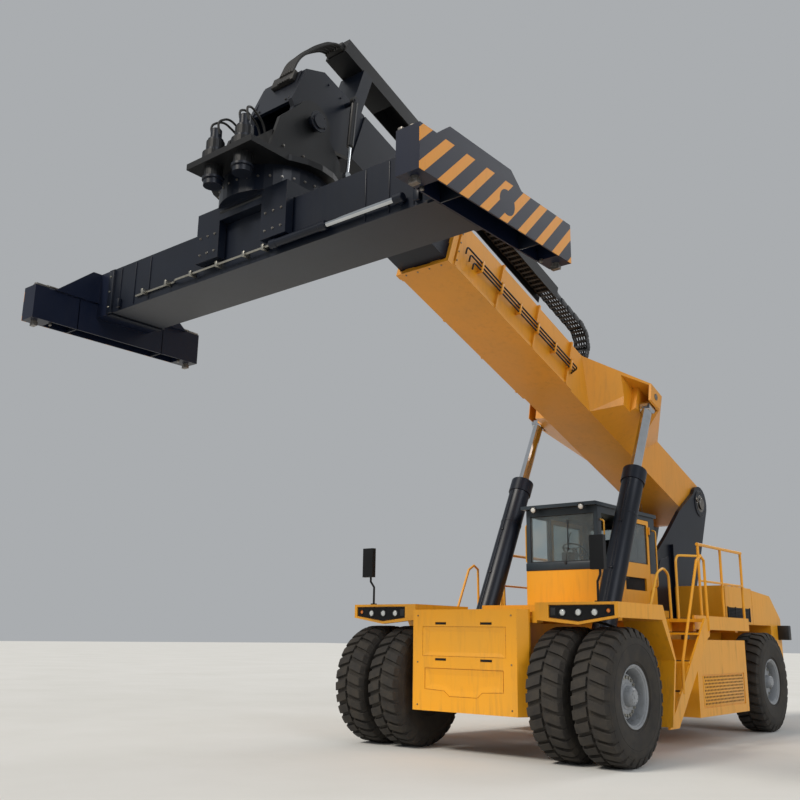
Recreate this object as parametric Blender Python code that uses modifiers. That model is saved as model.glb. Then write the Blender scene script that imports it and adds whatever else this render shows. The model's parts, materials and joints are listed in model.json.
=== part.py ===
"""Reach stacker for containers, at full size: metres, +Z up, forward along -Y, its left along +X.

Measures along the machine are counted from the front axle, and heights from the ground. The whole
model hangs on one empty, which puts the middle of its outer box at the origin. Pieces on the boom
are drawn in the boom's own frame: the origin is the pivot pin, forward along -Y, and +Z square to
the boom.
"""
from math import atan2, cos, hypot, pi, radians, sin

import bmesh
import bpy
from mathutils import Euler, Matrix, Vector

# ---------------------------------------------------------------- driving dimensions
GAP = 0.0003                    # between faces that touch
SLIDE_PLAY = 0.0006             # between a rod and the barrel it slides in

# Wheels and axles
WHEELBASE = 6.0
TYRE_RADIUS = 0.808
TYRE_WIDTH = 0.50
TYRE_BORE = 0.345               # radius of the bead seat
RIM_FLANGE = 0.372              # radius of the rim's flange
TWIN_GAP = 0.107                # between the two tyres of a front pair
FRONT_WIDTH = 4.214             # over the outer tyres of the front axle
REAR_WIDTH = 3.524              # over the tyres of the steered axle
KINGPIN_X = 1.08
ROUND_STEPS = 28

# Frame, deck and body
RAIL_X = 0.505                  # outer face of a frame rail
RAIL_WALL = 0.065
FRAME_TOP = 1.75
FRAME_BOTTOM = 0.60
FRAME_FRONT = -0.445
FRAME_REAR = 7.06
REAR_ARCH_Z = 1.205             # underside of the rails over the steered axle
REAR_ARCH_Y = 5.02
ENGINE_FLOOR = 0.98
NOSE_FRONT = -0.62
NOSE_HALF = 0.82
NOSE_BOTTOM = 0.53
NOSE_TOP = 1.82
DECK_TOP = 1.93                 # cab floor deck
BODY_HALF = 1.80                # half width over boxes and platforms
FENDER_HALF = 2.095
FENDER_TOP = 1.905
FENDER_LUG = 1.745              # underside of the lugs that sit on the frame's brackets
COUNTERWEIGHT_HALF = 1.42
COUNTERWEIGHT_FRONT = 6.20
COUNTERWEIGHT_REAR = 7.67
COUNTERWEIGHT_TOP = 2.345
PLATFORM_Z = 1.775              # walking height of the side platforms
PLATFORM_FRONT = 2.62
PLATFORM_REAR = 4.86
RAIL_TUBE = 0.021               # radius of a handrail's tube
BOX_FRONT = 2.62
BOX_REAR = 4.60
BOX_BOTTOM = 0.41
BOX_TOP = 1.48

# Cab
CAB_HALF = 0.63
CAB_FRONT = 2.0
CAB_REAR = 4.02
CAB_SILL = 2.52                 # top of the yellow lower panels
CAB_ROOF = 3.50
CAB_WALL = 0.05
DOOR_FRONT = 2.72
DOOR_REAR = 3.80
DOOR_PLAY = 0.006
HINGE_OUT = 0.012               # hinge axis outside the cab's side
HINGE_LUG = 0.03                # height of a hinge lug
GLASS = 0.008

# Boom, in its own frame: s forward from the pivot, n square to it
BOOM_ANGLE = radians(18.86)
PIVOT_Y = 6.45
PIVOT_Z = 3.99
BOOM_WIDTH = 0.83
BOOM_HEIGHT = 0.77
BOOM_WALL = 0.022
BOOM_FRONT = 8.32
RIB_PITCH = 1.02
INNER_PLAY = 0.012              # between the two boom sections
INNER_WALL = 0.02
INNER_TAIL = 1.62
INNER_FRONT = 10.30
HEAD_S = 10.99                  # head pin, where the spreader frame hangs
HEAD_N = -0.47
HEAD_HALF = 0.36
PIVOT_PIN = 0.11

# Lift cylinders
CYL_X = 1.02
CYL_BASE_Y = 0.985
CYL_BASE_Z = 0.96
EYE_S = 3.50                    # rod eye on the boom
EYE_N = 0.02
BARREL_RADIUS = 0.165
BARREL_LENGTH = 3.44
ROD_RADIUS = 0.085
ROD_LENGTH = 3.40
EYE_RADIUS = 0.11

# Sway dampers, from the boom head to the level frame
DAMPER_X = 0.50
DAMPER_PIN = 0.028
DAMPER_EYE_HALF = 0.028
DAMPER_S = 10.61
DAMPER_N = 0.24
DAMPER_FOOT_Y = -3.61
DAMPER_FOOT_Z = 6.62
DAMPER_BARREL = 0.625
DAMPER_ROD_TOP = 0.430

# Hose chain over the boom
CHAIN_X = 0.15
CHAIN_TOP = 1.19                # upper face of the carrier, above the boom axis
CHANNEL_HEIGHT = 0.21
CHANNEL_WIDTH = 0.34
CHANNEL_REAR = 5.55
CHAIN_REAR = 4.27
CHAIN_THICK = 0.12
CHAIN_WIDTH = 0.27
TRAY = 0.012                    # thickness of the strip it lies on

# Spreader
SLEW_Y = -4.244
LOCK_X = 2.9265                 # half the spacing of a container's corner castings, lengthwise
LOCK_Y = 1.1295                 # and crosswise
LOCK_TIP_Z = 5.02
BEAM_BOTTOM = 5.30
BEAM_TOP = 5.88
BEAM_HALF_Y = 0.38
BEAM_WALL = 0.016
BEAM_HALF_X = 2.56
END_HALF_Y = 1.225
END_INNER_X = 2.80
END_OUTER_X = 3.05
END_BOTTOM = 5.085
END_TOP = 5.50
SHIFT_TOP = 6.05
SLEW_JOINT_Z = 6.34

# Colours, as linear red, green and blue
YELLOW = (0.73, 0.35, 0.035)
NAVY = (0.008, 0.017, 0.042)
BLACK = (0.012, 0.012, 0.014)
SLATE = (0.035, 0.055, 0.075)
RUBBER = (0.022, 0.020, 0.019)
SILVER = (0.46, 0.47, 0.49)
STEEL = (0.62, 0.62, 0.64)
CASTING = (0.05, 0.05, 0.055)
CLEAR = (0.30, 0.36, 0.38)
VINYL = (0.02, 0.02, 0.022)

# ---------------------------------------------------------------- worked-out places
HEAD_Y = PIVOT_Y - HEAD_S * cos(BOOM_ANGLE) + HEAD_N * sin(BOOM_ANGLE)
HEAD_Z = PIVOT_Z + HEAD_S * sin(BOOM_ANGLE) + HEAD_N * cos(BOOM_ANGLE)
EYE_Y = PIVOT_Y - EYE_S * cos(BOOM_ANGLE) + EYE_N * sin(BOOM_ANGLE)
EYE_Z = PIVOT_Z + EYE_S * sin(BOOM_ANGLE) + EYE_N * cos(BOOM_ANGLE)
CYL_LEAN = atan2(EYE_Y - CYL_BASE_Y, EYE_Z - CYL_BASE_Z)
CYL_SPAN = hypot(EYE_Y - CYL_BASE_Y, EYE_Z - CYL_BASE_Z)
MIDDLE_Y = (SLEW_Y - END_HALF_Y + COUNTERWEIGHT_REAR) / 2
INNER_HALF_X = BOOM_WIDTH / 2 - BOOM_WALL - INNER_PLAY
INNER_HALF_Z = BOOM_HEIGHT / 2 - BOOM_WALL - INNER_PLAY


# ---------------------------------------------------------------- scene and helpers
for old in list(bpy.data.objects):
    bpy.data.objects.remove(old, do_unlink=True)

MACHINE = bpy.data.collections.new("reach_stacker")
CUTTERS = bpy.data.collections.new("cutters")
CUTTERS.hide_render = True
for group in (MACHINE, CUTTERS):
    bpy.context.scene.collection.children.link(group)


def finish_material(name, colour, roughness, metallic=0.0):
    mat = bpy.data.materials.new(name)
    mat.use_nodes = True
    shader = mat.node_tree.nodes["Principled BSDF"]
    shader.inputs["Base Color"].default_value = (*colour, 1.0)
    shader.inputs["Roughness"].default_value = roughness
    shader.inputs["Metallic"].default_value = metallic
    return mat


PAINTS = {
    "yellow": (YELLOW, 0.4, 0.0),
    "navy": (NAVY, 0.35, 0.0),
    "black": (BLACK, 0.5, 0.0),
    "slate": (SLATE, 0.45, 0.0),
    "rubber": (RUBBER, 0.85, 0.0),
    "silver": (SILVER, 0.4, 0.6),
    "steel": (STEEL, 0.18, 1.0),
    "casting": (CASTING, 0.6, 0.3),
    "clear": (CLEAR, 0.08, 0.0),
    "vinyl": (VINYL, 0.7, 0.0),
}


def empty(name, place=(0, 0, 0), turn=(0, 0, 0), parent=None):
    axis = bpy.data.objects.new(name, None)
    MACHINE.objects.link(axis)
    axis.location = place
    axis.rotation_euler = turn
    axis.parent = parent
    return axis


def scratch(mesh, name="piece"):
    piece = bpy.data.objects.new(name, mesh)
    piece.hide_render = True
    piece.display_type = "WIRE"
    CUTTERS.objects.link(piece)
    return piece


def evaluated_mesh(obj):
    bpy.context.view_layer.update()
    graph = bpy.context.evaluated_depsgraph_get()
    mesh = bpy.data.meshes.new_from_object(obj.evaluated_get(graph))
    mesh.transform(obj.matrix_world)
    return mesh


def box(low, high):
    """A block between two corners."""
    bm = bmesh.new()
    bmesh.ops.create_cube(bm, size=1.0)
    size = Vector(high) - Vector(low)
    middle = (Vector(high) + Vector(low)) / 2
    bmesh.ops.scale(bm, vec=size, verts=bm.verts)
    bmesh.ops.translate(bm, vec=middle, verts=bm.verts)
    return from_bmesh(bm)


def from_bmesh(bm):
    mesh = bpy.data.meshes.new("piece")
    bmesh.ops.recalc_face_normals(bm, faces=bm.faces)
    if bm.calc_volume(signed=True) < 0:
        bmesh.ops.reverse_faces(bm, faces=bm.faces)
    bm.to_mesh(mesh)
    bm.free()
    return scratch(mesh)


def rod(start, end, radius, steps=20, end_radius=None):
    """A round bar, or a cone, between two points."""
    start, end = Vector(start), Vector(end)
    bm = bmesh.new()
    far = radius if end_radius is None else end_radius
    length = (end - start).length
    bmesh.ops.create_cone(bm, cap_ends=True, segments=steps, radius1=radius, radius2=far, depth=length)
    turn = (end - start).to_track_quat("Z", "Y").to_matrix().to_4x4()
    bm.transform(Matrix.Translation((start + end) / 2) @ turn)
    return from_bmesh(bm)


def bore(start, end, pin, steps=20):
    """Cutter for a hole that a faceted pin of that radius and step count can turn in at any angle."""
    start, end = Vector(start), Vector(end)
    hole = rod(start, end, pin / cos(pi / steps) + GAP, steps)
    along = (end - start).normalized()
    middle = Matrix.Translation(start)
    hole.data.transform(middle @ Matrix.Rotation(pi / steps, 4, along) @ middle.inverted())
    return hole


def plate(outline, across, low, high):
    """A flat outline given thickness. It lies square to the axis named by across."""
    curve = bpy.data.curves.new("outline", "CURVE")
    curve.dimensions = "2D"
    curve.fill_mode = "BOTH"
    curve.extrude = (high - low) / 2
    spline = curve.splines.new("POLY")
    spline.points.add(len(outline) - 1)
    for point, (u, v) in zip(spline.points, outline):
        point.co = (u, v, 0, 1)
    spline.use_cyclic_u = True
    flat = scratch(curve)
    mesh = evaluated_mesh(flat)
    bpy.data.objects.remove(flat)
    bm = bmesh.new()
    bm.from_mesh(mesh)
    bmesh.ops.remove_doubles(bm, verts=bm.verts, dist=1e-5)
    middle = (low + high) / 2
    frames = {
        "X": Matrix(((0, 0, 1, middle), (1, 0, 0, 0), (0, 1, 0, 0), (0, 0, 0, 1))),
        "Y": Matrix(((1, 0, 0, 0), (0, 0, -1, middle), (0, 1, 0, 0), (0, 0, 0, 1))),
        "Z": Matrix(((1, 0, 0, 0), (0, 1, 0, 0), (0, 0, 1, middle), (0, 0, 0, 1))),
    }
    bm.transform(frames[across])
    return from_bmesh(bm)


def arc(centre, radius, start_deg, end_deg, steps):
    """Points along an arc, for an outline."""
    turns = [radians(start_deg + (end_deg - start_deg) * i / steps) for i in range(steps + 1)]
    return [(centre[0] + radius * cos(t), centre[1] + radius * sin(t)) for t in turns]


def turned(profile, centre, closed=False, steps=ROUND_STEPS):
    """A profile of (radius, distance along X) turned round an axis along X through centre.

    The profile runs from the +X end, down the outer side, to the -X end.
    """
    bm = bmesh.new()
    verts = [bm.verts.new((r, 0, a)) for r, a in profile]
    for first, second in zip(verts, verts[1:]):
        bm.edges.new((first, second))
    if closed:
        bm.edges.new((verts[-1], verts[0]))
    mesh = bpy.data.meshes.new("profile")
    bm.to_mesh(mesh)
    bm.free()
    wheel = scratch(mesh)
    screw = wheel.modifiers.new("turn", "SCREW")
    screw.steps = screw.render_steps = steps
    screw.use_merge_vertices = True
    screw.merge_threshold = 1e-4
    screw.use_normal_calculate = True
    mesh = evaluated_mesh(wheel)
    bpy.data.objects.remove(wheel)
    mesh.transform(Matrix.Translation(centre) @ Euler((0, pi / 2, 0)).to_matrix().to_4x4())
    bm = bmesh.new()
    bm.from_mesh(mesh)
    return from_bmesh(bm)


def tube(points, radius, sides=2):
    """A bent tube through the points, with its ends closed."""
    curve = bpy.data.curves.new("tube", "CURVE")
    curve.dimensions = "3D"
    curve.bevel_depth = radius
    curve.bevel_resolution = sides
    curve.use_fill_caps = True
    spline = curve.splines.new("POLY")
    spline.points.add(len(points) - 1)
    for point, place in zip(spline.points, points):
        point.co = (*place, 1)
    pipe = scratch(curve)
    mesh = evaluated_mesh(pipe)
    bpy.data.objects.remove(pipe)
    bm = bmesh.new()
    bm.from_mesh(mesh)
    bmesh.ops.remove_doubles(bm, verts=bm.verts, dist=1e-5)
    return from_bmesh(bm)


def hexahedron(near, far, axis_low, axis_high):
    """A block whose two end faces differ. Each face is four (y, z) corners, in order round it, at its own x."""
    bm = bmesh.new()
    bmesh.ops.create_cube(bm, size=2.0)
    ring = {(-1, -1): 0, (1, -1): 1, (1, 1): 2, (-1, 1): 3}
    for vert in bm.verts:
        side = near if vert.co.x < 0 else far
        corner = side[ring[(round(vert.co.y), round(vert.co.z))]]
        x = axis_low if vert.co.x < 0 else axis_high
        vert.co = (x, *corner)
    bmesh.ops.triangulate(bm, faces=bm.faces)
    return from_bmesh(bm)


def mirrored(piece):
    """A second piece on the other side of the machine's middle plane."""
    mesh = piece.data.copy()
    mesh.transform(Matrix.Scale(-1, 4, (1, 0, 0)))
    mesh.flip_normals()
    return scratch(mesh)


def both_sides(pieces):
    return pieces + [mirrored(piece) for piece in pieces]


def combine(target, others, operation):
    for other in others:
        step = target.modifiers.new("step", "BOOLEAN")
        step.operation = operation
        step.solver = "EXACT"
        step.object = other
    if others:
        mesh = evaluated_mesh(target)
        bpy.data.objects.remove(target)
        for other in others:
            bpy.data.objects.remove(other)
        target = scratch(mesh)
    return target


def node(name, paint, parent, pieces, cuts=(), added=()):
    """Joins the pieces, takes the cuts out, joins what is added last, and makes the named object.

    The pieces are drawn in the frame of the parent empty.
    """
    body = combine(pieces[0], list(pieces[1:]), "UNION")
    body = combine(body, list(cuts), "DIFFERENCE")
    body = combine(body, list(added), "UNION")
    mesh = body.data
    bpy.data.objects.remove(body)
    mesh.name = name
    bm = bmesh.new()
    bm.from_mesh(mesh)
    bmesh.ops.remove_doubles(bm, verts=bm.verts, dist=1e-6)
    bm.to_mesh(mesh)
    bm.free()
    mesh.materials.clear()
    mesh.materials.append(finish_material(name, *PAINTS[paint]))
    mesh.shade_smooth()
    mesh.set_sharp_from_angle(angle=radians(35))
    made = bpy.data.objects.new(name, mesh)
    MACHINE.objects.link(made)
    made.parent = parent
    return made


# ---------------------------------------------------------------- the tree of moving bodies
machine = empty("machine", (0, -MIDDLE_Y, 0))
front_left_hub = empty("front_left_axis", (0, 0, TYRE_RADIUS), parent=machine)
front_right_hub = empty("front_right_axis", (0, 0, TYRE_RADIUS), parent=machine)
boom = empty("boom_axis", (0, PIVOT_Y, PIVOT_Z), (-BOOM_ANGLE, 0, 0), machine)
extension = empty("extension_axis", parent=boom)
chain_slide = empty("chain_axis", parent=boom)
hanger = empty("hanger_axis", (0, -HEAD_S, HEAD_N), (BOOM_ANGLE, 0, 0), extension)
SPREADER_SHIFT = Vector((0, -HEAD_Y, -HEAD_Z))       # from the front axle's frame to the hanger's
slew = empty("slew_axis", SPREADER_SHIFT, parent=hanger)
side_shift = empty("side_shift_axis", parent=slew)


def wheel_profile(width):
    """Half the section of a tyre, from its +X bead round the tread to its -X bead, as (radius, x)."""
    half = width / 2
    bead = half - 0.045
    right = [
        (TYRE_BORE, bead - 0.01),
        (RIM_FLANGE + 0.03, bead + 0.010),
        (0.58, half),
        (TYRE_RADIUS - 0.055, half - 0.018),
        (TYRE_RADIUS, half - 0.085),
    ]
    left = [(r, -x) for r, x in reversed(right)]
    return right + left


def tyre(name, parent, centre):
    node(name, "rubber", parent, [turned(wheel_profile(TYRE_WIDTH), centre, closed=True)])


def front_hub(name, parent, side):
    """The two rims of a twin pair, with the spacer between them and the hub's dome, as one turned body."""
    outer = FRONT_WIDTH / 2
    outer_mid = outer - TYRE_WIDTH / 2
    inner_mid = outer_mid - TYRE_WIDTH - TWIN_GAP
    seat = TYRE_BORE - GAP
    bead = TYRE_WIDTH / 2 - 0.045
    flange = outer_mid + bead + 0.004
    profile = [
        (0.0, flange - 0.02),
        (0.075, flange - 0.02),
        (0.095, flange - 0.04),
        (0.10, flange - 0.115),
        (0.20, flange - 0.115),
        (0.23, flange - 0.135),
        (0.30, flange - 0.125),
        (0.322, flange - 0.105),
        (0.335, flange + 0.006),
        (RIM_FLANGE, flange + 0.010),
        (RIM_FLANGE, flange + 0.001),
        (seat, flange - 0.008),
        (seat, inner_mid - bead - 0.010),
        (0.325, inner_mid - bead - 0.010),
        (0.315, inner_mid + 0.05),
        (0.0, inner_mid + 0.05),
    ]
    spindle = bore((inner_mid + 0.04, 0, 0), (inner_mid + 0.29, 0, 0), 0.10, 16)
    body = turned(profile, (0, 0, 0))
    if side < 0:
        body, spindle = swap_side(body), swap_side(spindle)
    node(name, "silver", parent, [body], [spindle])


def swap_side(piece):
    other = mirrored(piece)
    bpy.data.objects.remove(piece)
    return other


def front_wheels():
    outer = FRONT_WIDTH / 2 - TYRE_WIDTH / 2
    inner = outer - TYRE_WIDTH - TWIN_GAP
    for side, label, axis in ((1, "left", front_left_hub), (-1, "right", front_right_hub)):
        tyre(f"front_{label}_outer_tyre", axis, (side * outer, 0, 0))
        tyre(f"front_{label}_inner_tyre", axis, (side * inner, 0, 0))
        front_hub(f"front_{label}_hub", axis, side)


def rear_wheels():
    """Each steered wheel turns on its own knuckle, whose empty stands on the kingpin."""
    middle = REAR_WIDTH / 2 - TYRE_WIDTH / 2 - KINGPIN_X
    bead = TYRE_WIDTH / 2 - 0.045
    flange = middle + bead + 0.004
    seat = TYRE_BORE - GAP
    for side, label in ((1, "left"), (-1, "right")):
        knuckle = empty(f"knuckle_{label}_axis", (side * KINGPIN_X, WHEELBASE, TYRE_RADIUS), parent=machine)
        axis = empty(f"rear_{label}_axis", parent=knuckle)
        tyre(f"rear_{label}_tyre", axis, (side * middle, 0, 0))
        profile = [
            (0.0, flange - 0.02),
            (0.085, flange - 0.02),
            (0.115, flange - 0.05),
            (0.125, flange - 0.115),
            (0.21, flange - 0.115),
            (0.24, flange - 0.135),
            (0.30, flange - 0.125),
            (0.322, flange - 0.105),
            (0.335, flange + 0.006),
            (RIM_FLANGE, flange + 0.010),
            (RIM_FLANGE, flange + 0.001),
            (seat, flange - 0.008),
            (seat, middle - bead - 0.010),
            (0.325, middle - bead - 0.010),
            (0.315, middle + 0.04),
            (0.14, middle + 0.04),
            (0.14, middle - 0.06),
            (0.0, middle - 0.06),
        ]
        body = turned(profile, (0, 0, 0))
        hole = bore((middle - 0.10, 0, 0), (middle + 0.12, 0, 0), 0.070, 16)
        spindle = rod((0.05, 0, 0), (middle + 0.10, 0, 0), 0.070, 16)
        plates = [
            rod((0, 0, -0.115), (0, 0, 0.115), 0.095, 16),
            rod((0, 0, -0.19), (0, 0, 0.19), 0.045, 16),
            rod((0.05, 0, 0), (middle - 0.075, 0, 0), 0.11, 16),
            spindle,
            box((-0.03, -0.30, -0.06), (0.06, 0.02, -0.02)),
        ]
        if side < 0:
            body, hole = swap_side(body), swap_side(hole)
            plates = [swap_side(piece) for piece in plates]
        node(f"rear_{label}_hub", "silver", axis, [body], [hole])
        node(f"steering_knuckle_{label}", "casting", knuckle, plates)


def front_axle():
    """Drive axle: a housing with a drop box in the middle and a spindle into each hub."""
    inner_mid = FRONT_WIDTH / 2 - TYRE_WIDTH * 1.5 - TWIN_GAP
    z = TYRE_RADIUS
    pieces = [
        rod((-0.94, 0, z), (0.94, 0, z), 0.20, 16),
        rod((-inner_mid - 0.28, 0, z), (inner_mid + 0.28, 0, z), 0.10, 16),
        rod((-0.36, 0, z), (0.36, 0, z), 0.26, 16),
        rod((0, -0.27, z), (0, 0.42, z), 0.29, 16, 0.16),
        box((-RAIL_X, -0.20, z), (RAIL_X, 0.20, 1.10 - GAP)),
    ]
    node("front_axle", "casting", machine, pieces)


def steer_axle():
    """Steered axle: a box beam with a fork for each knuckle and a steering cylinder along its back."""
    z = TYRE_RADIUS
    y = WHEELBASE
    beam = [
        box((-0.88, y - 0.15, z - 0.19), (0.88, y + 0.15, z + 0.19)),
        box((-0.40, y - 0.16, z), (0.40, y + 0.16, REAR_ARCH_Z - GAP)),
        rod((-0.62, y + 0.24, z), (0.62, y + 0.24, z), 0.075, 16),
        box((-0.30, y + 0.10, z - 0.12), (0.30, y + 0.26, z + 0.12)),
    ]
    cuts = []
    for side in (1, -1):
        x = side * KINGPIN_X
        for low, high in ((z - 0.19, z - 0.12), (z + 0.12, z + 0.19)):
            beam.append(rod((x, y, low), (x, y, high), 0.10, 16))
            inner, outer = sorted((side * 0.86, x))
            beam.append(box((inner, y - 0.098, low), (outer, y + 0.098, high)))
        cuts.append(bore((x, y, z - 0.25), (x, y, z + 0.25), 0.045, 16))
    node("steer_axle", "casting", machine, beam, cuts)


def chassis_frame():
    """Two side plates with the cross-members, deck and cylinder feet between and beside them."""
    profile = [
        (FRAME_FRONT, FRAME_BOTTOM),
        (-0.235, FRAME_BOTTOM),
        (-0.235, 1.10),
        (0.235, 1.10),
        (0.235, FRAME_BOTTOM),
        (4.72, FRAME_BOTTOM),
        (REAR_ARCH_Y, REAR_ARCH_Z),
        (FRAME_REAR, REAR_ARCH_Z),
        (FRAME_REAR, FRAME_TOP),
        (FRAME_FRONT, FRAME_TOP),
    ]
    pieces = both_sides([plate(profile, "X", RAIL_X - RAIL_WALL, RAIL_X)])
    inner = RAIL_X - RAIL_WALL + 0.01
    for low, high in (
        ((-inner, FRAME_FRONT, 0.66), (inner, FRAME_FRONT + 0.05, 1.72)),
        ((-inner, 0.62, 0.62), (inner, 0.70, 1.10)),
        ((-inner, 2.30, 0.62), (inner, 2.38, 1.74)),
        ((-inner, 4.50, 0.62), (inner, 4.58, ENGINE_FLOOR - GAP)),
        ((-inner, WHEELBASE - 0.16, REAR_ARCH_Z), (inner, WHEELBASE + 0.16, REAR_ARCH_Z + 0.06)),
        ((-inner, FRAME_REAR - 0.08, 1.25), (inner, FRAME_REAR, 1.74)),
        ((-NOSE_HALF + 0.02, FRAME_FRONT, FRAME_TOP - 0.01), (NOSE_HALF - 0.02, 1.02, FRAME_TOP + 0.045)),
        ((-NOSE_HALF + 0.02, 1.00, FRAME_TOP - 0.01), (NOSE_HALF - 0.02, 4.05, DECK_TOP)),
        ((-RAIL_X, FRAME_FRONT, 1.50), (RAIL_X, FRAME_FRONT + 0.04, 1.76)),
    ):
        pieces.append(box(low, high))
    for side in (1, -1):
        inner_x, outer_x = sorted((side * (RAIL_X - 0.01), side * (CYL_X - BARREL_RADIUS - 0.02)))
        foot = [(0.86, 0.74), (1.34, 0.74), (1.30, 1.12), (1.06, 1.16), (0.88, 1.05)]
        pieces.append(plate(foot, "X", inner_x, outer_x))
        low, high = sorted((side * (CYL_X - BARREL_RADIUS - 0.03), side * (CYL_X + 0.13)))
        pieces.append(rod((low, CYL_BASE_Y, CYL_BASE_Z), (high, CYL_BASE_Y, CYL_BASE_Z), 0.055, 20))
        # outriggers that carry the side boxes and platforms
        for y in (2.95, 4.20):
            low, high = sorted((side * (RAIL_X - 0.01), side * 1.0))
            pieces.append(box((low, y, 1.20), (high, y + 0.12, 1.40)))
        for y in (2.80, 4.50):
            low, high = sorted((side * (RAIL_X - 0.01), side * 1.70))
            pieces.append(box((low, y, 1.60), (high, y + 0.10, PLATFORM_Z - 0.05 - GAP)))
        # brackets that carry the fenders
        low, high = sorted((side * (RAIL_X - 0.01), side * 0.955))
        pieces.append(box((low, -0.30, 1.66), (high, -0.20, FENDER_LUG - GAP)))
        pieces.append(box((low, 0.50, 1.66), (high, 0.60, FENDER_LUG - GAP)))
    node("chassis_frame", "yellow", machine, pieces)


def front_nose():
    """Front panel: chamfered sides, two recessed fields, four lashing slots and a drop under the lower field."""
    plan = [
        (-NOSE_HALF, NOSE_FRONT),
        (NOSE_HALF, NOSE_FRONT),
        (0.91, NOSE_FRONT + 0.14),
        (0.91, FRAME_FRONT - GAP),
        (-0.91, FRAME_FRONT - GAP),
        (-0.91, NOSE_FRONT + 0.14),
    ]
    body = plate(plan, "Z", NOSE_BOTTOM, NOSE_TOP)
    cuts = [
        box((-0.66, NOSE_FRONT - 0.1, 1.22), (0.66, NOSE_FRONT + 0.014, 1.60)),
        plate(
            [(-0.62, 1.07), (-0.62, 0.80), (-0.30, 0.785), (-0.22, 0.72), (0.22, 0.72), (0.30, 0.785), (0.62, 0.80),
             (0.62, 1.07)],
            "Y", NOSE_FRONT - 0.1, NOSE_FRONT + 0.014),
    ]
    for x in (-0.36, 0.36):
        for z in (1.18, 1.64):
            cuts.append(box((x - 0.09, NOSE_FRONT - 0.1, z - 0.016), (x + 0.09, NOSE_FRONT + 0.03, z + 0.016)))
    node("front_nose", "yellow", machine, [body], cuts)


def fender(label, side):
    """Wing over a front wheel pair: lamp housing, top plate, side skirt and the guard that runs down behind."""
    inner = 0.96
    housing = [(inner, 1.69), (inner, FENDER_TOP), (FENDER_HALF, FENDER_TOP), (FENDER_HALF, 1.72), (1.56, 1.635)]
    recess = [(1.15, 1.715), (1.15, 1.875), (2.05, 1.875), (2.05, 1.742), (1.56, 1.668)]
    pieces = [
        plate(housing, "Y", -0.40, -0.33),
        box((inner, -0.34, FENDER_TOP - 0.03), (FENDER_HALF, 0.86, FENDER_TOP)),
        box((FENDER_HALF - 0.03, -0.34, 1.72), (FENDER_HALF, 0.86, FENDER_TOP)),
        plate([(0.84, 1.70), (0.84, FENDER_TOP), (0.875, FENDER_TOP), (1.20, 1.22), (1.02, 0.40), (0.985, 0.40),
               (1.155, 1.215)], "X", 1.54, FENDER_HALF),
        box((0.915, -0.40, 1.655), (inner + 0.02, -0.34, 1.80)),
        box((inner, -0.34, 1.69), (inner + 0.03, 0.86, FENDER_TOP)),
        box((inner - 0.025, -0.32, FENDER_LUG), (inner + 0.01, 0.86, 1.80)),
    ]
    cuts = [plate(recess, "Y", -0.5, -0.375)]
    if side < 0:
        pieces = [swap_side(piece) for piece in pieces]
        cuts = [swap_side(piece) for piece in cuts]
    node(f"fender_{label}", "yellow", machine, pieces, cuts)


def platform(label, side):
    """Side platform with its skirt, stairs and handrails."""
    low_z = PLATFORM_Z - 0.05
    x_in, x_out = 0.86, BODY_HALF
    pieces = [
        box((x_in, PLATFORM_FRONT, low_z), (x_out, PLATFORM_REAR, PLATFORM_Z)),
        box((x_out - 0.03, PLATFORM_FRONT, low_z - 0.10), (x_out, PLATFORM_REAR, PLATFORM_Z + 0.05)),
    ]
    stair_x = (1.42, 1.98)
    treads = 4
    rise = (PLATFORM_Z - 0.10) / (treads + 0.35)
    for i in range(treads):
        z = 0.42 + i * rise
        y = 1.14 + i * 0.37
        pieces.append(box((stair_x[0], y, z - 0.03), (stair_x[1], y + 0.30, z)))
    for x in stair_x:
        stringer = [(1.12, 0.36), (1.42, 0.36), (2.58, 1.50), (2.66, 1.53), (2.66, PLATFORM_Z), (2.52, PLATFORM_Z)]
        pieces.append(plate(stringer, "X", x - 0.015, x + 0.015))
    pieces.append(box((stair_x[0], 2.58, low_z), (stair_x[1] + 0.015, 2.70, PLATFORM_Z)))
    top, mid = 2.88, 2.34
    rail_x = x_out - 0.045
    front, rear = 3.02, PLATFORM_REAR - 0.05
    for y in (front, (front + rear) / 2, rear):
        pieces.append(rod((rail_x, y, PLATFORM_Z - 0.02), (rail_x, y, top), RAIL_TUBE, 12))
    pieces.append(rod((rail_x, front - 0.03, top), (rail_x, rear + 0.03, top), RAIL_TUBE + 0.003, 12))
    pieces.append(rod((rail_x, front, mid), (rail_x, rear, mid), RAIL_TUBE - 0.004, 12))
    stair_rail = [(1.99, 1.62, 0.78), (1.99, 1.66, 1.20), (1.99, 2.35, 2.58), (1.99, 2.50, 2.66),
                  (1.99, 2.62, 2.60), (1.99, 2.64, 1.60)]
    pieces.append(tube(stair_rail, RAIL_TUBE))
    if side < 0:
        pieces = [swap_side(piece) for piece in pieces]
    node(f"platform_{label}", "yellow", machine, pieces)


def side_box(label, side):
    """Tank under a platform: flush front, one blank plate field and a shallow field for the vents."""
    pieces = [box((1.0 + GAP, BOX_FRONT, BOX_BOTTOM), (BODY_HALF, BOX_REAR, BOX_TOP))]
    cuts = [
        box((BODY_HALF - 0.012, BOX_FRONT + 0.16, BOX_BOTTOM + 0.12), (BODY_HALF + 0.1, BOX_REAR - 0.14, 0.99)),
    ]
    if side < 0:
        pieces = [swap_side(piece) for piece in pieces]
        cuts = [swap_side(piece) for piece in cuts]
    node(f"side_box_{label}", "yellow", machine, pieces, cuts)


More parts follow.
